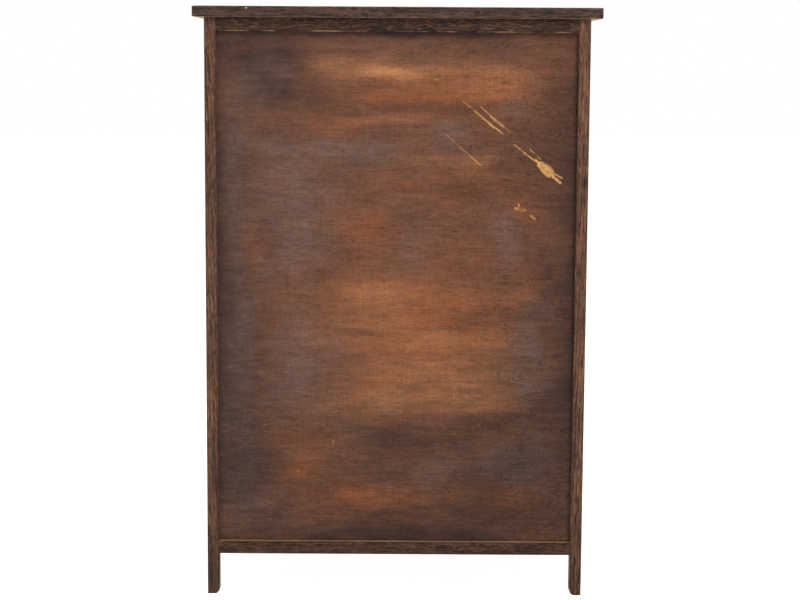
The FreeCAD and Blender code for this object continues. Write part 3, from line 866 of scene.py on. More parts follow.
def timber(name, tones, ring_width=0.0035, feather=0.002, lines=0.5, flecks=0.4,
           edge=(0.0016, 0.7), gloss=0.5, specular=0.16, stave=None):
    """A solid timber with rings, flecks, pores, uneven stain and marked edges."""
    material, tree, shader = new_material(name, gloss)
    shader.inputs["Specular IOR Level"].default_value = specular
    log, board, half = (attribute(tree, key) for key in ("log_place", "board_place", "board_half"))
    if stave:
        moved = use(tree, stave, Place=board)
        shift = add(tree, "CombineXYZ", X=moved["Along"], Y=moved["Across"], Z=moved["Deep"])
        log = vectors(tree, "ADD", log, shift.outputs["Vector"])
        seam = moved["Seam"]
    curled = wavy(tree, log, (75, 90, 90), (0.0, 0.0045, 0.0045))
    colour, line, fleck, pores = grain(
        tree, tones, log, curled, ring_width, feather, lines, flecks
    )
    depth, above, below = add(tree, "SeparateXYZ", Vector=attribute(tree, "board_finish")).outputs
    colour = stained(tree, colour, tones, curled, depth)
    edge_width, edge_strength = edge
    rim = use(tree, worn_edge, Place=board, Half=half, Width=edge_width)["Mask"]
    colour = blend_colours(tree, product(tree, rim, edge_strength), colour, tones.edge)
    if stave:
        colour = blend_colours(tree, product(tree, seam, 0.7), colour, tones.pore)
    colour = missed(tree, colour, board, above, below)
    base_colour(material, colour)
    dull = maths(tree, "MAXIMUM", pores, fleck)
    feed(tree, shader.inputs["Roughness"], span(tree, dull, 0.0, 1.0, gloss, gloss + 0.25))
    sunk = maths(tree, "ADD", maths(tree, "ADD", product(tree, line, 0.5), fleck), pores)
    if stave:
        sunk = maths(tree, "ADD", sunk, seam)
    relief(tree, shader, product(tree, sunk, -1.0), 0.5, 0.0002)
    return material, colour


print("timber() is ready")

# %% [markdown]
# Knots, notches and darker ends of the feet belong to one place of one board. They could be pieces
# of their own, but they lie in its surface. So each is a soft spot at a place of the chest, which
# is turned into a place in the board's trunk, because that is what a material can ask for.

# %% Knots, notches and darker feet


def mark_boards(material, colour, marks, paint):
    """Knots, notches and darker feet on certain boards, found by where each was in its trunk."""
    tree = material.node_tree
    log = wavy(tree, attribute(tree, "log_place"), (150, 300, 300), (0.004, 0.002, 0.002))
    for node, point, reach, strength in marks:
        centre = Trunk(node, 0, *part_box(node)).in_trunk(Vector(point) * MM)
        size = [part * MM for part in reach]
        spot = use(tree, soft_spot, Place=log, Centre=centre, Reach=size)["Mask"]
        colour = blend_colours(tree, product(tree, spot, strength), colour, paint)
    base_colour(material, colour)


print("mark_boards() is ready")

# %% Tones of the timbers


def mix(*cards):
    """The tones of a timber from colours on paint cards."""
    return Tones(*(linear(*card) for card in cards))


FRAME_TONES = mix((112, 78, 61), (144, 101, 76), (47, 33, 28), (36, 26, 23), (48, 34, 29))
TOP_TONES = mix((140, 106, 88), (168, 128, 106), (44, 32, 29), (32, 24, 22), (50, 36, 32))
FRONT_TONES = mix((106, 66, 44), (134, 86, 56), (54, 33, 25), (34, 23, 19), (142, 96, 66))
KNOB_TONES = mix((84, 52, 37), (106, 67, 46), (46, 29, 23), (32, 22, 19), (128, 86, 60))
BARE_TONES = mix((206, 172, 128), (220, 190, 148), (176, 136, 94), (146, 110, 76), (186, 152, 112))
INNER_TONES = mix((188, 152, 110), (204, 170, 128), (156, 118, 80), (120, 88, 60), (160, 126, 90))
print("ground of the frame, linear:", [round(part, 3) for part in FRAME_TONES.ground])

# %% [markdown]
# ## The glued top
#
# The top board is glued up from narrow staves, and its rear edge shows where one stave ends and
# the next begins. The staves could be separate meshes, but they are flush and never come apart.
# So the board stays whole, and a group tells the material which stave a point lies in and moves
# it to another place in the trunk.

# %% Node group: glued staves
STAVE_WIDTH = 0.05
STAVE_SPAN = 0.34
STAGGER = 0.618
REAR_JOINT = 0.0363
SEAM = 0.0004


def glued_staves_group(half_depth):
    """Which stave a point of the top lies in, as a shift in the trunk, and its seams."""
    tree, given, result = group_tree(
        "glued staves", (("Place", "Vector", (0, 0, 0)),), ("Along", "Across", "Deep", "Seam")
    )
    along, across, _ = add(tree, "SeparateXYZ", Vector=given["Place"]).outputs
    from_rear = maths(tree, "SUBTRACT", half_depth, across)
    rows = maths(tree, "DIVIDE", from_rear, STAVE_WIDTH)
    row = maths(tree, "FLOOR", rows)
    joint = maths(tree, "ADD", product(tree, row, STAVE_SPAN * STAGGER), REAR_JOINT)
    joint = maths(tree, "WRAP", joint, STAVE_SPAN / 2, -STAVE_SPAN / 2)
    past = maths(tree, "SUBTRACT", along, joint)
    side = maths(tree, "GREATER_THAN", past, 0.0)
    number = maths(tree, "ADD", product(tree, row, 2.0), side)
    draw = add(tree, "TexWhiteNoise", {"noise_dimensions": "1D"}, W=maths(tree, "ADD", number, 2.5))
    red, green, blue = add(tree, "SeparateColor", Color=draw.outputs["Color"]).outputs
    feed(tree, result["Along"], product(tree, red, 3.0))
    feed(tree, result["Across"], product(tree, maths(tree, "SUBTRACT", green, 0.5), 0.06))
    feed(tree, result["Deep"], product(tree, blue, 0.03))
    part = maths(tree, "FRACT", rows)
    beside = maths(tree, "MINIMUM", part, maths(tree, "SUBTRACT", 1.0, part))
    gap = product(tree, beside, STAVE_WIDTH)
    gap = maths(tree, "MINIMUM", gap, maths(tree, "ABSOLUTE", past))
    feed(tree, result["Seam"], span(tree, gap, 0.0, SEAM, 1.0, 0.0))
    return tree


top_low, top_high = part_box("top_board")
glued_staves = glued_staves_group((top_high.y - top_low.y) / 2)

print("group", glued_staves.name)

# %% [markdown]
# ## One timber, six finishes
#
# The whole chest could share one wood, but it would look cast in one piece. Frame, top, drawer
# fronts and knobs are the same timber under stains of different depth, the drawer boxes and what
# is inside were never stained. Darker ends of the feet, a knot and a notch are soft spots at places
# of certain boards.

# %% Materials: frame, drawers and inside
frame_wood, frame_colour = timber("frame_wood", FRAME_TONES, lines=0.6, flecks=0.82)
# Board, place, and reach along, across and through it in millimetres, and strength
FRAME_MARKS = (
    ("post_back_left", (-192, 148, 433), (9, 4, 5), 0.95),
    ("post_back_left", (-188, 148, 150), (5, 5, 4), 0.8),
    # The lower ends of the four legs are made darker towards the floor
    ("post_back_left", (-190, 140, 0), (90, 60, 60), 0.5),
    ("post_back_right", (190, 140, 0), (90, 60, 60), 0.5),
    ("post_front_left", (-190, -126, 0), (90, 60, 60), 0.4),
    ("post_front_right", (190, -126, 0), (90, 60, 60), 0.4),
)
mark_boards(frame_wood, frame_colour, FRAME_MARKS, FRAME_TONES.pore)
drawer_front_wood, _ = timber(
    "drawer_front_wood", FRONT_TONES, 0.0046, 0.0016, edge=(0.0011, 0.55), gloss=0.4, specular=0.3
)
knob_wood, _ = timber(
    "knob_wood", KNOB_TONES, 0.0028, 0.001, edge=(0.0011, 0.6), gloss=0.36, specular=0.3
)
drawer_box_wood, _ = timber(
    "drawer_box_wood", BARE_TONES, 0.004, 0.0012, lines=0.4, flecks=0.15, edge=(0.0006, 0.4),
    gloss=0.6, specular=0.3,
)
inner_wood, _ = timber(
    "inner_wood", INNER_TONES, 0.004, 0.0012, lines=0.4, flecks=0.2, edge=(0.0007, 0.4),
    gloss=0.62, specular=0.25,
)
made = (frame_wood, drawer_front_wood, knob_wood, drawer_box_wood, inner_wood)
print("timbers:", [material.name for material in made])

# %% Material: top


def top_material():
    """Stained like the frame, with a small pale dent on its rear edge."""
    material, colour = timber(
        "top_wood", TOP_TONES, 0.0036, 0.0018, lines=0.9, flecks=0.95, stave=glued_staves
    )
    tree = material.node_tree
    colour = tinted(tree, colour, span(tree, face_up(tree), *LEVEL, 1.0, 0.62))
    middle = (top_low + top_high) / 2
    dent = Vector((0.1526, top_high.y - middle.y, 607.9 * MM - middle.z))
    board = attribute(tree, "board_place")
    chip = use(tree, soft_spot, Place=board, Centre=dent, Reach=(0.0022, 0.003, 0.0013))["Mask"]
    colour = blend_colours(tree, span(tree, chip, 0.3, 0.6), colour, linear(196, 178, 160))
    base_colour(material, colour)
    return material


top_wood = top_material()
print("and", top_wood.name)

# %% [markdown]
# ## The back panel
#
# The back is the showpiece here: a sheet of thin plywood whose face veneer runs across, stained
# by hand and never polished. The stain lies dark and bluish in the corners that the rag didn't
# reach, reddish in the middle, and nearly tan where it was wiped off again; near the top, that tan
# band is partly painted sheen. It is built in that order, as a finisher would: veneer first, then
# stain, then what time did to it.
#
# Marks are placed in millimetres on the chest, as x across and z up, and brought to the panel's
# own middle by one function.

# %% Places on the back panel
panel_low, panel_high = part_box("back_panel")
panel_middle = (panel_low + panel_high) / 2
rail_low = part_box("back_top_rail")[0].z


def on_panel(x, z):
    """A place on the back panel, in the panel's own axes: along the grain, across, through."""
    return Vector((x * MM - panel_middle.x, z * MM - panel_middle.z, 0))


print("upper edge of the panel that shows:", round(rail_low / MM, 1), "mm")

# %% [markdown]
# Stain is uneven because a rag laid it on. A painted picture could hold more, but a list can be
# read, moved and explained. Each list below is one kind of place, and each entry is one soft patch
# with its middle, its reach and its strength.

# %% Patches of warm stain
# Where the stain is reddest: place, reach across and up in mm, and strength
RUST = (
    ((-40, 526), (180, 48), 0.85),
    ((-44, 430), (180, 36), 0.4),
    ((31, 389), (72, 38), 0.5),
    ((-136, 401), (34, 24), 0.65),
    ((148, 350), (22, 74), 0.45),
    ((-14, 285), (170, 150), 0.88),
    ((-136, 326), (34, 36), 0.55),
    ((107, 130), (56, 42), 1.0),
    ((31, 101), (100, 36), 1.0),
    ((-40, 109), (72, 36), 0.45),
    ((-126, 101), (58, 22), 0.9),
    ((97, 163), (80, 24), 0.5),
    ((110, 290), (60, 72), 0.35),
    ((60, 500), (90, 50), 0.4),
)
# Where the rag wiped it thin; near the top, wiped stain and painted sheen together
WIPED_AND_SHEEN = (
    # The first three lie in a band near the top: wiped stain with painted sheen in it
    ((4, 546), (76, 11), 1.0),
    ((-14, 547), (200, 26), 0.28),
    ((62, 554), (60, 12), 0.34),
    ((-105, 534), (84, 30), 0.26),
    ((1, 496), (104, 10), 0.34),
    ((-34, 456), (84, 9), 0.2),
    ((-85, 456), (32, 14), 0.22),
    ((22, 302), (90, 70), 0.26),
    ((-19, 318), (160, 26), 0.2),
    ((-65, 266), (160, 24), 0.25),
    ((-4, 276), (130, 16), 0.2),
    ((-40, 231), (150, 44), 0.38),
    ((10, 203), (120, 28), 0.3),
    ((-85, 202), (84, 24), 0.3),
)
print(len(RUST), "rusty patches and", len(WIPED_AND_SHEEN), "that were wiped thin")

# %% Patches of cold and dark stain
# Where it dried to a greyish haze
HAZED = (
    ((107, 399), (78, 140), 0.45),
    ((97, 249), (76, 92), 0.42),
    ((36, 464), (66, 24), 0.52),
    ((107, 469), (90, 18), 0.45),
    ((-55, 479), (40, 30), 0.42),
    ((-116, 508), (34, 20), 0.35),
    ((-19, 363), (36, 60), 0.3),
    ((-110, 373), (34, 66), 0.36),
    ((-136, 238), (46, 66), 0.5),
    ((-146, 285), (32, 66), 0.35),
    ((-116, 140), (84, 40), 0.55),
    ((-45, 130), (56, 38), 0.35),
    ((-146, 140), (40, 66), 0.5),
    ((166, 440), (24, 140), 0.5),
    ((166, 250), (26, 190), 0.55),
    ((158, 120), (32, 66), 0.6),
    ((136, 540), (70, 60), 0.42),
    ((172, 65), (14, 4), 0.9),
)
# Where it lies thick and dark, and painted shade in the band under the top rail
THICK_AND_SHADE = (
    ((132, 542), (84, 66), 0.72),
    ((150, 575), (110, 44), 0.75),
    ((120, 520), (30, 22), 0.4),
    # Painted shade: the band right under the top rail, in the colour of thick stain
    ((-4, 588), (280, 27), 0.92),
    ((185, 330), (24, 410), 0.55),
    ((-185, 330), (26, 410), 0.7),
    ((-180, 215), (36, 80), 0.5),
    ((-4, 58), (280, 36), 0.85),
    ((-55, 84), (160, 22), 0.45),
    ((123, 84), (70, 22), 0.4),
    ((-19, 168), (220, 24), 0.46),
    ((-116, 186), (90, 24), 0.48),
    ((-156, 204), (44, 28), 0.45),
    ((133, 140), (32, 30), 0.4),
    ((47, 277), (50, 9), 0.5),
    ((77, 513), (70, 28), 0.35),
    ((-45, 508), (120, 16), 0.34),
    ((-85, 425), (104, 20), 0.32),
    ((-156, 316), (34, 76), 0.3),
    ((0, 120), (290, 116), 0.34),
    ((160, 125), (36, 100), 0.42),
)
# Wide areas where it turned greyer, and where it stayed a brown umber
GREY = (
    ((190, 300), (110, 470), 0.6),
    ((-190, 250), (100, 420), 0.3),
    ((170, 160), (100, 150), 0.5),
)
UMBER = (
    ((-190, 250), (100, 420), 0.34),
    ((-185, 480), (100, 170), 0.66),
    ((-140, 120), (140, 130), 0.54),
    ((20, 60), (230, 60), 0.3),
)
print(len(HAZED), "hazy patches and", len(THICK_AND_SHADE) + len(GREY) + len(UMBER), "dark ones")

# %% [markdown]
# What broke through the stain later is thinner than any patch. A scratch has two ends, a width and
# gaps. Where the veneer came off in one piece, short broad scratches overlap to its outline.

# %% Scratches, flakes and pins
# Scratches down to the bare veneer: start, end, width in mm, and how broken they are
BROAD = 3.0
SCRATCHES = (
    ((-67, 516), (-75, 509.5), 0.9, 0.48),
    ((-79, 506), (-95, 492.5), 1.5, 0.15),
    ((-93, 494), (-99, 489), 2.2, 0.3),
    ((-95, 492.5), (-108, 483), 1.5, 0.32),
    ((-85, 510), (-99, 498), 0.9, 0.47),
    ((-96, 500), (-108, 490.5), 2.2, 0.36),
    ((-101, 496), (-115, 485), 1.2, 0.4),
    ((-120, 471.5), (-131, 463.3), 1.0, 0.38),
    ((-130, 463.5), (-143, 454), 1.5, 0.38),
    ((-136, 467), (-147, 457), 0.9, 0.46),
    ((-142, 456), (-160, 440.5), 3.0, 0.0),
    ((-147, 451.5), (-153, 447), 8.5, 0.0),
    ((-151.5, 447.5), (-156, 443.5), 12.0, 0.0),
    ((-159, 443.5), (-169, 438), 1.7, 0.1),
    ((-159, 440), (-167.5, 433), 3.1, 0.05),
    ((-76, 459), (-86, 450.5), 1.1, 0.4),
    ((-49, 483), (-64, 469.5), 0.36, 0.48),
    ((-65, 468.5), (-77, 458), 0.7, 0.42),
    ((-122, 407), (-131, 405), 3.0, 0.44),
    ((-125, 411), (-128, 403), 1.6, 0.4),
    ((-138, 399), (-142, 396), 2.2, 0.36),
)
# Tiny flakes: place, reach across and up in mm, and strength
FLAKES = (
    ((31, 543.5), (1.3, 1.6), 1.0),
    ((-40, 537), (1.2, 1.5), 1.0),
    ((-61.5, 171), (1.0, 1.0), 1.0),
    ((64.5, 162), (1.2, 4.0), 0.45),
    ((100.7, 131), (1.2, 4.5), 0.4),
    ((92, 420), (0.9, 0.9), 0.8),
    ((-70, 385), (0.8, 0.9), 0.8),
)
PIN_PLACES = ((42.5, 358.5), (8, 277.7))
print(len(SCRATCHES), "scratches,", len(FLAKES), "flakes and", len(PIN_PLACES), "pins")

# %% [markdown]
# The veneer's figure is different from that of a sawn board. It is peeled from the trunk like
# paper from a roll, so the blade skims in and out of the same few rings and draws them as long
# contour lines. Rings of a slowly swaying height give just that.

# %% Node group: peeled veneer


def peeled_veneer_group():
    """Contour lines, fine streaks and faint cross lines of a peeled veneer, from 0 to 1."""
    tree, given, result = group_tree(
        "peeled veneer",
        (("Place", "Vector", (0, 0, 0)), ("Sway Length", "Float", 0.22), ("Rings", "Float", 74.0)),
        ("Figure", "Streaks", "Cross"),
    )
    place = given["Place"]
    scale = maths(tree, "DIVIDE", 1.0, given["Sway Length"])
    stretch = add(tree, "CombineXYZ", X=scale, Y=product(tree, scale, 2.6), Z=0.0).outputs["Vector"]
    height = noise(tree, vectors(tree, "MULTIPLY", place, stretch), 3.0, 0.5).outputs["Fac"]
    ripple = mottle(tree, place, (110, 420, 0), 2.0)
    rings = product(tree, height, given["Rings"])
    rings = maths(tree, "ADD", rings, product(tree, ripple, 0.3))
    part = maths(tree, "FRACT", rings)
    fading = span(tree, part, 0.0, 0.3, 1.0, 0.0)
    figure = maths(tree, "MAXIMUM", fading, span(tree, part, 0.8, 1.0))
    broken = mottle(tree, place, (45, 90, 0), 2.0)
    feed(tree, result["Figure"], product(tree, figure, span(tree, broken, 0.35, 0.6)))
    fine = mottle(tree, place, (110, 760, 0), 2.0, 0.65)
    broad = mottle(tree, place, (34, 190, 0), 3.0, 0.6)
    both = maths(tree, "ADD", product(tree, fine, 0.5), product(tree, broad, 0.5))
    feed(tree, result["Streaks"], span(tree, both, 0.36, 0.64))
    cross = mottle(tree, place, (560, 40, 0), 2.0, 0.6)
    feed(tree, result["Cross"], span(tree, cross, 0.33, 0.67))
    return tree


peeled_veneer = peeled_veneer_group()

print("group", peeled_veneer.name)

# %% [markdown]
# ## Stain and what time did to it
#
# The panel could be one picture. Here it is laid on in the order of the real work: the bare
# veneer, a red-brown stain, places wiped thin with painted sheen near the top, a grey haze where
# it dried too fast, and the thick dark rims, with painted shade under the top rail. Only then
# come scratches and flakes down to the raw wood. brush() lays one list of soft patches, and a
# cloudy noise breaks them up, so that no edge looks drawn.

# %% Colours of the stain and the brush
VENEER_BROWN = linear(100, 65, 49)
VENEER_RUST = linear(138, 82, 50)
VENEER_TAN_AND_SHEEN = linear(178, 122, 80)
STAIN_HAZE = linear(110, 92, 87)
STAIN_THICK_AND_SHADE = linear(56, 40, 36)
STAIN_GREY = linear(66, 51, 46)
STAIN_UMBER = linear(64, 44, 35)
RAW_VENEER = linear(208, 164, 106)
RAW_SHADE = linear(176, 122, 70)
MISSED_VENEER = linear(222, 176, 134)
MISSED_LINE = (0.0008, 0.0012)
DRIFT_SIZE = (9, 14, 0)
DRIFT = (0.036, 0.011, 0)


def brush(tree, colour, place, broken, patches, paint):
    """Lays soft patches of a colour, one for each entry of a list, broken up by a noise."""
    for centre, reach, strength in patches:
        size = (reach[0] * MM, reach[1] * MM, 1.0)
        mask = use(tree, soft_spot, Place=place, Centre=on_panel(*centre), Reach=size)["Mask"]
        mask = maths(tree, "POWER", mask, 1.6)
        mask = product(tree, mask, product(tree, broken, 1.15), clamp=True)
        colour = blend_colours(tree, product(tree, mask, strength), colour, paint)
    return colour


def stain_cloud(tree, flat, length, height, seed, contrast=0.2):
    """Cloudy patches, from 0 to 1, as a panel takes stain unevenly."""
    return use(
        tree, wiped_patch,
        Place=flat, Length=length, Height=height, Seed=seed, Detail=5.0, Contrast=contrast,
    )["Mask"]


def broken_up(tree, flat, cross, length, height, seed, depth):
    """How a patch breaks up: a cloudy noise around one, with the veneer's cross lines in it."""
    cloud = stain_cloud(tree, flat, length, height, seed, 0.22)
    cloud = span(tree, cloud, 0.0, 1.0, 1 - depth, 1 + depth)
    return maths(tree, "ADD", cloud, span(tree, cross, 0.0, 1.0, -0.06, 0.06))


print("brush() is ready")

# %% The stain on the veneer


def stain_coats(tree, flat, cloud, cross, airy):
    """Stain coats on the veneer, first brown to thick dark rims, with painted sheen and shade."""
    loose = wavy(tree, wavy(tree, flat, DRIFT_SIZE, DRIFT), (60, 90, 0), (0.006, 0.004, 0))
    dull = stain_cloud(tree, flat, 0.045, 0.035, 8.6, 0.3)
    colour = blend_colours(tree, product(tree, dull, airy, 0.22), VENEER_BROWN, STAIN_HAZE)
    colour = blend_colours(tree, product(tree, cloud, 0.16), colour, VENEER_RUST)
    broken = broken_up(tree, flat, cross, 0.07, 0.02, 2.7, 0.45)
    colour = brush(tree, colour, loose, broken, RUST, VENEER_RUST)
    # Places wiped thin, and painted sheen in the band near the top
    broken = broken_up(tree, flat, cross, 0.09, 0.007, 6.3, 0.4)
    colour = brush(tree, colour, loose, broken, WIPED_AND_SHEEN, VENEER_TAN_AND_SHEEN)
    broken = broken_up(tree, flat, cross, 0.03, 0.03, 5.1, 0.6)
    colour = brush(tree, colour, loose, broken, HAZED, STAIN_HAZE)
    colour = brush(tree, colour, loose, 1.0, GREY, STAIN_GREY)
    colour = brush(tree, colour, loose, 1.0, UMBER, STAIN_UMBER)
    bloom = mottle(tree, flat, (60, 105, 0), 5.0, 0.7)
    bloom = product(tree, span(tree, bloom, 0.48, 0.72, 0.0, 0.38), airy)
    colour = blend_colours(tree, bloom, colour, STAIN_HAZE)
    speck = mottle(tree, flat, (190, 330, 0), 3.0, 0.6)
    colour = blend_colours(tree, span(tree, speck, 0.56, 0.74, 0.0, 0.48), colour, VENEER_RUST)
    colour = blend_colours(tree, span(tree, speck, 0.26, 0.44, 0.48, 0.0), colour, STAIN_THICK_AND_SHADE)
    # Thick dark stain, and painted shade along the top of the panel under the rail
    broken = broken_up(tree, flat, cross, 0.06, 0.02, 9.4, 0.4)
    return brush(tree, colour, loose, broken, THICK_AND_SHADE, STAIN_THICK_AND_SHADE)


def stained_veneer(tree, flat, veneer):
    """The colour of the stained veneer, before anything scratched it."""
    across, up, _ = add(tree, "SeparateXYZ", Vector=flat).outputs
    airy = span(tree, across, -0.15, 0.03, 0.4, 1.0)
    cloud = stain_cloud(tree, flat, 0.05, 0.024, 4.2)
    colour = stain_coats(tree, flat, cloud, veneer["Cross"], airy)
    grit = mottle(tree, flat, (620, 980, 0))
    shade = product(
        tree,
        span(tree, cloud, 0.0, 1.0, 0.94, 1.06),
        span(tree, veneer["Streaks"], 0.0, 1.0, 0.84, 1.12),
        span(tree, veneer["Cross"], 0.0, 1.0, 0.96, 1.04),
        span(tree, grit, 0.3, 0.7, 0.9, 1.1),
    )
    side = span(tree, across, -0.14, 0.02, 0.3, 0.08)
    figure = maths(tree, "SUBTRACT", 1.0, product(tree, veneer["Figure"], side))
    coarse = span(tree, up, -0.22, -0.06, 1.4, 1.08)
    return tinted(tree, colour, maths(tree, "POWER", product(tree, shade, figure), coarse))


print("stained_veneer() is ready")

# %% Masks of scratches, flakes and rims
# How far a narrow scratch opened the stain, how ragged narrow and broad ones are, and how far
# the rims of the pins reach
NARROW_DEPTH = 0.8
NARROW_RAGGED = 0.7
BROAD_RAGGED = 0.16
PIN_RIM = (0.0028, 0.0028, 1.0)


def bare_marks(tree, flat):
    """Where scratches and flakes went through the stain, and the scuffed rims beside them."""
    bare = scuffed = 0.0
    for start, end, width, breaks in SCRATCHES:
        depth, ragged = (NARROW_DEPTH, NARROW_RAGGED) if width < BROAD else (1.0, BROAD_RAGGED)
        mark = use(
            tree, long_mark, Place=flat, Start=on_panel(*start), End=on_panel(*end),
            Width=width * MM / 2, Breaks=breaks, Raggedness=ragged,
        )
        opened = product(tree, mark["Mask"], depth)
        bare = maths(tree, "MAXIMUM", bare, opened)
        scuffed = maths(tree, "MAXIMUM", scuffed, mark["Scuff"])
    shaken = wavy(tree, flat, (900, 900, 0), (0.0014, 0.0014, 0))
    for centre, reach, strength in FLAKES:
        size = (reach[0] * MM, reach[1] * MM, 1.0)
        mask = use(tree, soft_spot, Place=shaken, Centre=on_panel(*centre), Reach=size)["Mask"]
        bare = maths(tree, "MAXIMUM", bare, span(tree, mask, 0.3, 0.7, 0.0, strength))
    for pin in PIN_PLACES:
        halo = use(tree, soft_spot, Place=shaken, Centre=on_panel(*pin), Reach=PIN_RIM)["Mask"]
        bare = maths(tree, "MAXIMUM", bare, span(tree, halo, 0.1, 0.6, 0.0, 0.22))
    return bare, scuffed


print("bare_marks() is ready")

# %% Material: back panel


def back_panel_material():
    """Hand-stained veneer with wiped bands, dark corners, scratches and two pin marks."""
    material, tree, shader = new_material("back_plywood", 0.5)
    shader.inputs["Specular IOR Level"].default_value = 0.14
    place = attribute(tree, "board_place")
    flat = vectors(tree, "MULTIPLY", place, (1, 1, 0))
    veneer = use(tree, peeled_veneer, Place=flat)
    # The stain holds painted sheen near the top and painted shade under the top rail
    colour = stained_veneer(tree, flat, veneer)
    bare, scuffed = bare_marks(tree, flat)
    colour = blend_colours(tree, product(tree, scuffed, 0.5), colour, RAW_SHADE)
    torn = mottle(tree, flat, (280, 280, 0), 4.0, 0.65)
    raw = blend_colours(tree, span(tree, torn, 0.44, 0.58, 0.0, 0.9), RAW_VENEER, RAW_SHADE)
    colour = blend_colours(tree, bare, colour, raw)

    up = add(tree, "SeparateXYZ", Vector=place).outputs["Y"]
    gap = maths(tree, "SUBTRACT", rail_low - panel_middle.z, up)
    patchy = span(tree, mottle(tree, flat, (22, 0, 0), 4.0, 0.6), 0.44, 0.62, 0.0, 0.9)
    line = product(tree, span(tree, gap, *MISSED_LINE, 1.0, 0.0), patchy)
    colour = blend_colours(tree, line, colour, MISSED_VENEER)
    base_colour(material, colour)

    rough = span(tree, veneer["Streaks"], 0.0, 1.0, 0.6, 0.48)
    feed(tree, shader.inputs["Roughness"], maths(tree, "MAXIMUM", rough, product(tree, bare, 0.7)))
    height = product(tree, maths(tree, "ADD", veneer["Streaks"], veneer["Cross"]), 0.5)
    height = maths(tree, "SUBTRACT", height, product(tree, bare, 2.0))
    relief(tree, shader, height, 0.35, 0.0001)
    return material


back_plywood = back_panel_material()
print("panel:", back_plywood.name)

# %% [markdown]
# ## Plain plywood
#
# The sides are seen in the room, so they were stained with more care than the back, and the
# drawer bottoms not at all. The same veneer group serves both, with even colours and one soft
# patch pattern.

# %% Material: plain plywood


def plain_plywood(name, ground, light, line, roughness):
    """Thin plywood with an even finish."""
    material, tree, shader = new_material(name, roughness)
    shader.inputs["Specular IOR Level"].default_value = 0.2
    place = attribute(tree, "log_place")
    flat = vectors(tree, "MULTIPLY", place, (1, 1, 0))
    veneer = use(tree, peeled_veneer, Place=flat)
    patch = use(tree, wiped_patch, Place=flat, Length=0.16, Height=0.03, Seed=1.7)["Mask"]
    colour = blend_colours(tree, patch, ground, light)
    colour = blend_colours(tree, product(tree, veneer["Figure"], 0.3), colour, line)
    colour = blend_colours(tree, span(tree, veneer["Streaks"], 0.0, 1.0, 0.3, 0.0), colour, line)
    base_colour(material, colour)
    rough = span(tree, veneer["Streaks"], 0.0, 1.0, roughness + 0.08, roughness - 0.04)
    feed(tree, shader.inputs["Roughness"], rough)
    relief(tree, shader, veneer["Streaks"], 0.35, 0.0001)
    return material


side_plywood = plain_plywood(
    "side_plywood", linear(84, 56, 43), linear(112, 73, 51), linear(52, 38, 32), 0.48
)
drawer_plywood = plain_plywood(
    "drawer_plywood", linear(206, 176, 136), linear(218, 192, 154), linear(180, 146, 106), 0.6
)
print("panels:", side_plywood.name, drawer_plywood.name)

# %% [markdown]
# ## Every board in its timber
#
# The record says which finish each node takes. One loop copies each board, eases its corners,
# writes its grain and gives it that finish, so all sixty are made alike and none is forgotten.

# %% Finish and body of each board
MATERIALS = {
    "frame_wood": frame_wood,
    "top_wood": top_wood,
    "drawer_front_wood": drawer_front_wood,
    "knob_wood": knob_wood,
    "drawer_box_wood": drawer_box_wood,
    "inner_wood": inner_wood,
    "back_plywood": back_plywood,
    "side_plywood": side_plywood,
    "drawer_plywood": drawer_plywood,
}
SLOTS = {entry["node"]: entry["material_slot"] for entry in frame["record"]["subparts"]}
BODIES = frame["record"]["behaviour"]["bodies"]
BODY_OF = {node: body for body, nodes in BODIES.items() for node in nodes}

# %% [markdown]
# ## A worn foot
#
# One foot was knocked about when the chest was moved. A rounded corner would look turned, and
# real splinters would need sculpting. So the end of the leg is cut into a small grid, and each
# corner of the grid is pushed in and up a little, more the nearer it is to the floor.

# %% Chip a foot
CHIP_REACH = 9 * MM
CHIP_LEVELS = (1.8, 3.6, 6.0, 8.9)
CHIP_COLUMNS = 5
CHIP_LIFT = 1.7 * MM
CHIP_STAND = 3.2 * MM
CHIP_DEPTH = 0.11
STANDING = 0.01 * MM


def cut_across(mesh, axis, places, below):
    """Cuts the mesh on planes across an axis, only where it is lower than a height."""
    normal = Vector([float(number == axis) for number in range(3)])
    for place in places:
        near = [face for face in mesh.faces if min(vert.co.z for vert in face.verts) < below]
        parts = near + [edge for face in near for edge in face.edges]
        parts += [vert for face in near for vert in face.verts]
        once = list(dict.fromkeys(parts))
        bmesh.ops.bisect_plane(mesh, geom=once, plane_co=normal * place, plane_no=normal)


def chip_foot(mesh):
    """The worn foot: its end is splintered and its lower edges are knocked back."""
    draw = random.Random("worn foot")
    low, high = box_of(mesh.verts)
    cut_across(mesh, ALONG_Z, [low.z + height * MM for height in CHIP_LEVELS], CHIP_REACH)
    for axis in (ALONG_X, ALONG_Y):
        step = (high[axis] - low[axis]) / CHIP_COLUMNS
        places = [low[axis] + step * number for number in range(1, CHIP_COLUMNS)]
        cut_across(mesh, axis, places, CHIP_REACH)
    middle = (low + high) / 2
    near = [vert for vert in mesh.verts if vert.co.z < CHIP_REACH]
    for vert in sorted(near, key=lambda vert: tuple(vert.co)):
        away = Vector((vert.co.x - middle.x, vert.co.y - middle.y, 0))
        wear = 1 - vert.co.z / CHIP_REACH
        inward = draw.uniform(0.0, CHIP_DEPTH) * wear
        lift = draw.uniform(0.0, CHIP_LIFT) if away.length > CHIP_STAND else 0.0
        if vert.co.z < STANDING:
            vert.co.z += lift
        vert.co.x -= away.x * inward
        vert.co.y -= away.y * inward
    uneven = [face for face in mesh.faces if min(vert.co.z for vert in face.verts) < CHIP_REACH]
    bmesh.ops.triangulate(mesh, faces=uneven)
    # Cutting leaves the faces in another order each time, so they are put in one order here
    ordered = sorted(mesh.faces, key=lambda face: tuple(face.calc_center_median()))
    for number, face in enumerate(ordered):
        face.index = number
    mesh.faces.sort()


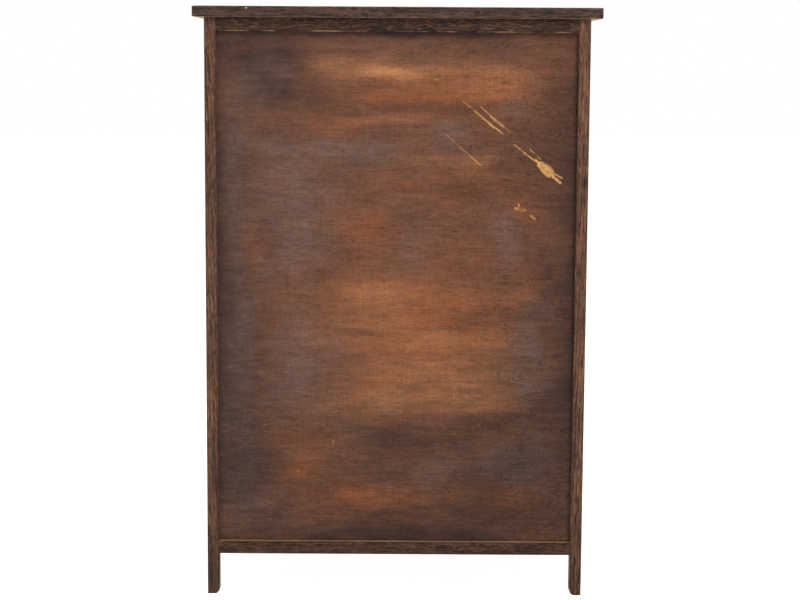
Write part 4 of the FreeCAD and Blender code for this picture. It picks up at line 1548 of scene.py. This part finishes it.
print("chips reach", CHIP_REACH / MM, "mm up")

# %% Dress all boards


def dress(node):
    """The visible piece of one node."""
    mesh = clean_copy(node)
    eased = ease_corners(mesh, EASE)
    if node == "post_back_left":
        chip_foot(mesh)
    write_grain(mesh, node)
    slot = SLOTS[node]
    piece = finish_piece(mesh, f"{node}_dressed", [node], BODY_OF[node], MATERIALS[slot])
    return piece, eased


dressed = {}
corners = 0
for node in frame["nodes"]:
    dressed[node], eased = dress(node)
    corners += eased
print(f"{len(dressed)} boards dressed, {corners} corners eased")

# %% [markdown]
# ## Pins, nails and screws
#
# Small fasteners tell how a thing is held. Two pins hold the back to the rails inside, each
# drawer bottom is nailed up to the drawer back, and every knob is screwed on from inside the
# drawer. They could be painted on, but a head that stands a little proud catches the light and
# shows in the mesh. All are turned shapes: a profile of radius and height, swept round an axis,
# sunk a little in the wood.

# %% Turned heads
ROUND_STEPS = 16
PIN_PROFILE = ((1.0, -0.6), (1.05, 0.0), (0.95, 0.16), (0.6, 0.27), (0.0, 0.32))
NAIL_PROFILE = ((0.9, -0.5), (0.95, 0.0), (0.9, 0.2), (0.55, 0.3), (0.0, 0.32))
SCREW_PROFILE = ((3.2, -0.4), (3.3, 0.0), (3.15, 0.8), (2.6, 1.45), (1.5, 1.85), (0.0, 2.0))
SLOT_WIDTH = 0.8
SLOT_FLOOR = 1.0


def turned_head(mesh, place, outward, profile, slotted):
    """Adds a turned head at a place in millimetres. It points outward, and may be slotted."""
    turn = Vector((0, 0, 1)).rotation_difference(outward).to_matrix()
    rings = []
    for radius, height in profile[:-1]:
        ring = []
        for step in range(ROUND_STEPS):
            angle = math.tau * (step + 0.5) / ROUND_STEPS
            point = Vector((radius * math.cos(angle), radius * math.sin(angle), height))
            if slotted and abs(point.y) < SLOT_WIDTH:
                point.z = min(point.z, SLOT_FLOOR)
                point.y = math.copysign(SLOT_WIDTH / 2, point.y)
            ring.append(mesh.verts.new((turn @ point + place) * MM))
        rings.append(ring)
    top_point = Vector((0, 0, SLOT_FLOOR if slotted else profile[-1][1]))
    tip = mesh.verts.new((turn @ top_point + place) * MM)
    for lower, upper in zip(rings, rings[1:]):
        for step in range(ROUND_STEPS):
            after = (step + 1) % ROUND_STEPS
            mesh.faces.new((lower[step], lower[after], upper[after], upper[step]))
    for step in range(ROUND_STEPS):
        mesh.faces.new((rings[-1][step], rings[-1][(step + 1) % ROUND_STEPS], tip))
    mesh.faces.new(list(reversed(rings[0])))


print("heads are turned in", ROUND_STEPS, "steps")

# %% Material: old steel


def old_steel(name, bright, dark, rust):
    """Steel that has gone dull, with a little rust in patches."""
    material, tree, shader = new_material(name, 0.45)
    place = add(tree, "TexCoord").outputs["Object"]
    patch = use(tree, wiped_patch, Place=place, Length=0.0012, Height=0.0012, Seed=5.0)["Mask"]
    fine = use(
        tree, wiped_patch, Place=place, Length=0.0004, Height=0.0004, Seed=8.0, Contrast=0.1
    )["Mask"]
    colour = blend_colours(tree, patch, bright, dark)
    colour = blend_colours(tree, product(tree, fine, 0.45), colour, rust)
    base_colour(material, colour)
    feed(tree, shader.inputs["Metallic"], span(tree, fine, 0.0, 1.0, 0.9, 0.3))
    feed(tree, shader.inputs["Roughness"], span(tree, patch, 0.0, 1.0, 0.4, 0.62))
    relief(tree, shader, fine, 0.2, 0.00005)
    return material


steel = old_steel("old_steel", linear(150, 146, 140), linear(86, 82, 78), linear(94, 62, 44))
pin_steel = old_steel("pin_steel", linear(70, 60, 54), linear(40, 34, 31), linear(66, 42, 30))
print("metals:", steel.name, pin_steel.name)

# %% Place the fasteners


def fasteners(name, body, material, places, outward, profile, slotted=False):
    """One piece made of several heads on the same body."""
    mesh = bmesh.new()
    for place in places:
        turned_head(mesh, Vector(place), Vector(outward), profile, slotted)
    return finish_piece(mesh, name, [], body, material)


pin_y = panel_high.y / MM
pins = [(x, pin_y, z) for x, z in PIN_PLACES]
fasteners("back_panel_pins", "carcass", pin_steel, pins, (0, 1, 0), PIN_PROFILE)
NAIL_SPACING = 84
NAILS = 4
for number in range(1, 7):
    drawer = f"drawer_{number}"
    _, front_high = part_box(f"{drawer}_front")
    back_low, back_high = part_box(f"{drawer}_back")
    knob_low, knob_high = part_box(f"{drawer}_knobs")
    bottom_low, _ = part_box(f"{drawer}_bottom")
    inside = front_high.y / MM
    level = (knob_low.z + knob_high.z) / 2 / MM
    knob_half = (knob_high.z - knob_low.z) / 2
    reach = (knob_high.x - knob_half) / MM
    screws = [(-reach, inside, level), (reach, inside, level)]
    fasteners(f"{drawer}_screws", drawer, steel, screws, (0, 1, 0), SCREW_PROFILE, slotted=True)
    under = bottom_low.z / MM
    line = (back_low.y + back_high.y) / 2 / MM
    first = -NAIL_SPACING * (NAILS - 1) / 2
    nails = [(first + NAIL_SPACING * step, line, under) for step in range(NAILS)]
    fasteners(f"{drawer}_nails", drawer, steel, nails, (0, 0, -1), NAIL_PROFILE)
print("pins, screws and nails added")

# %% Bring the scene up to date
bpy.context.view_layer.update()
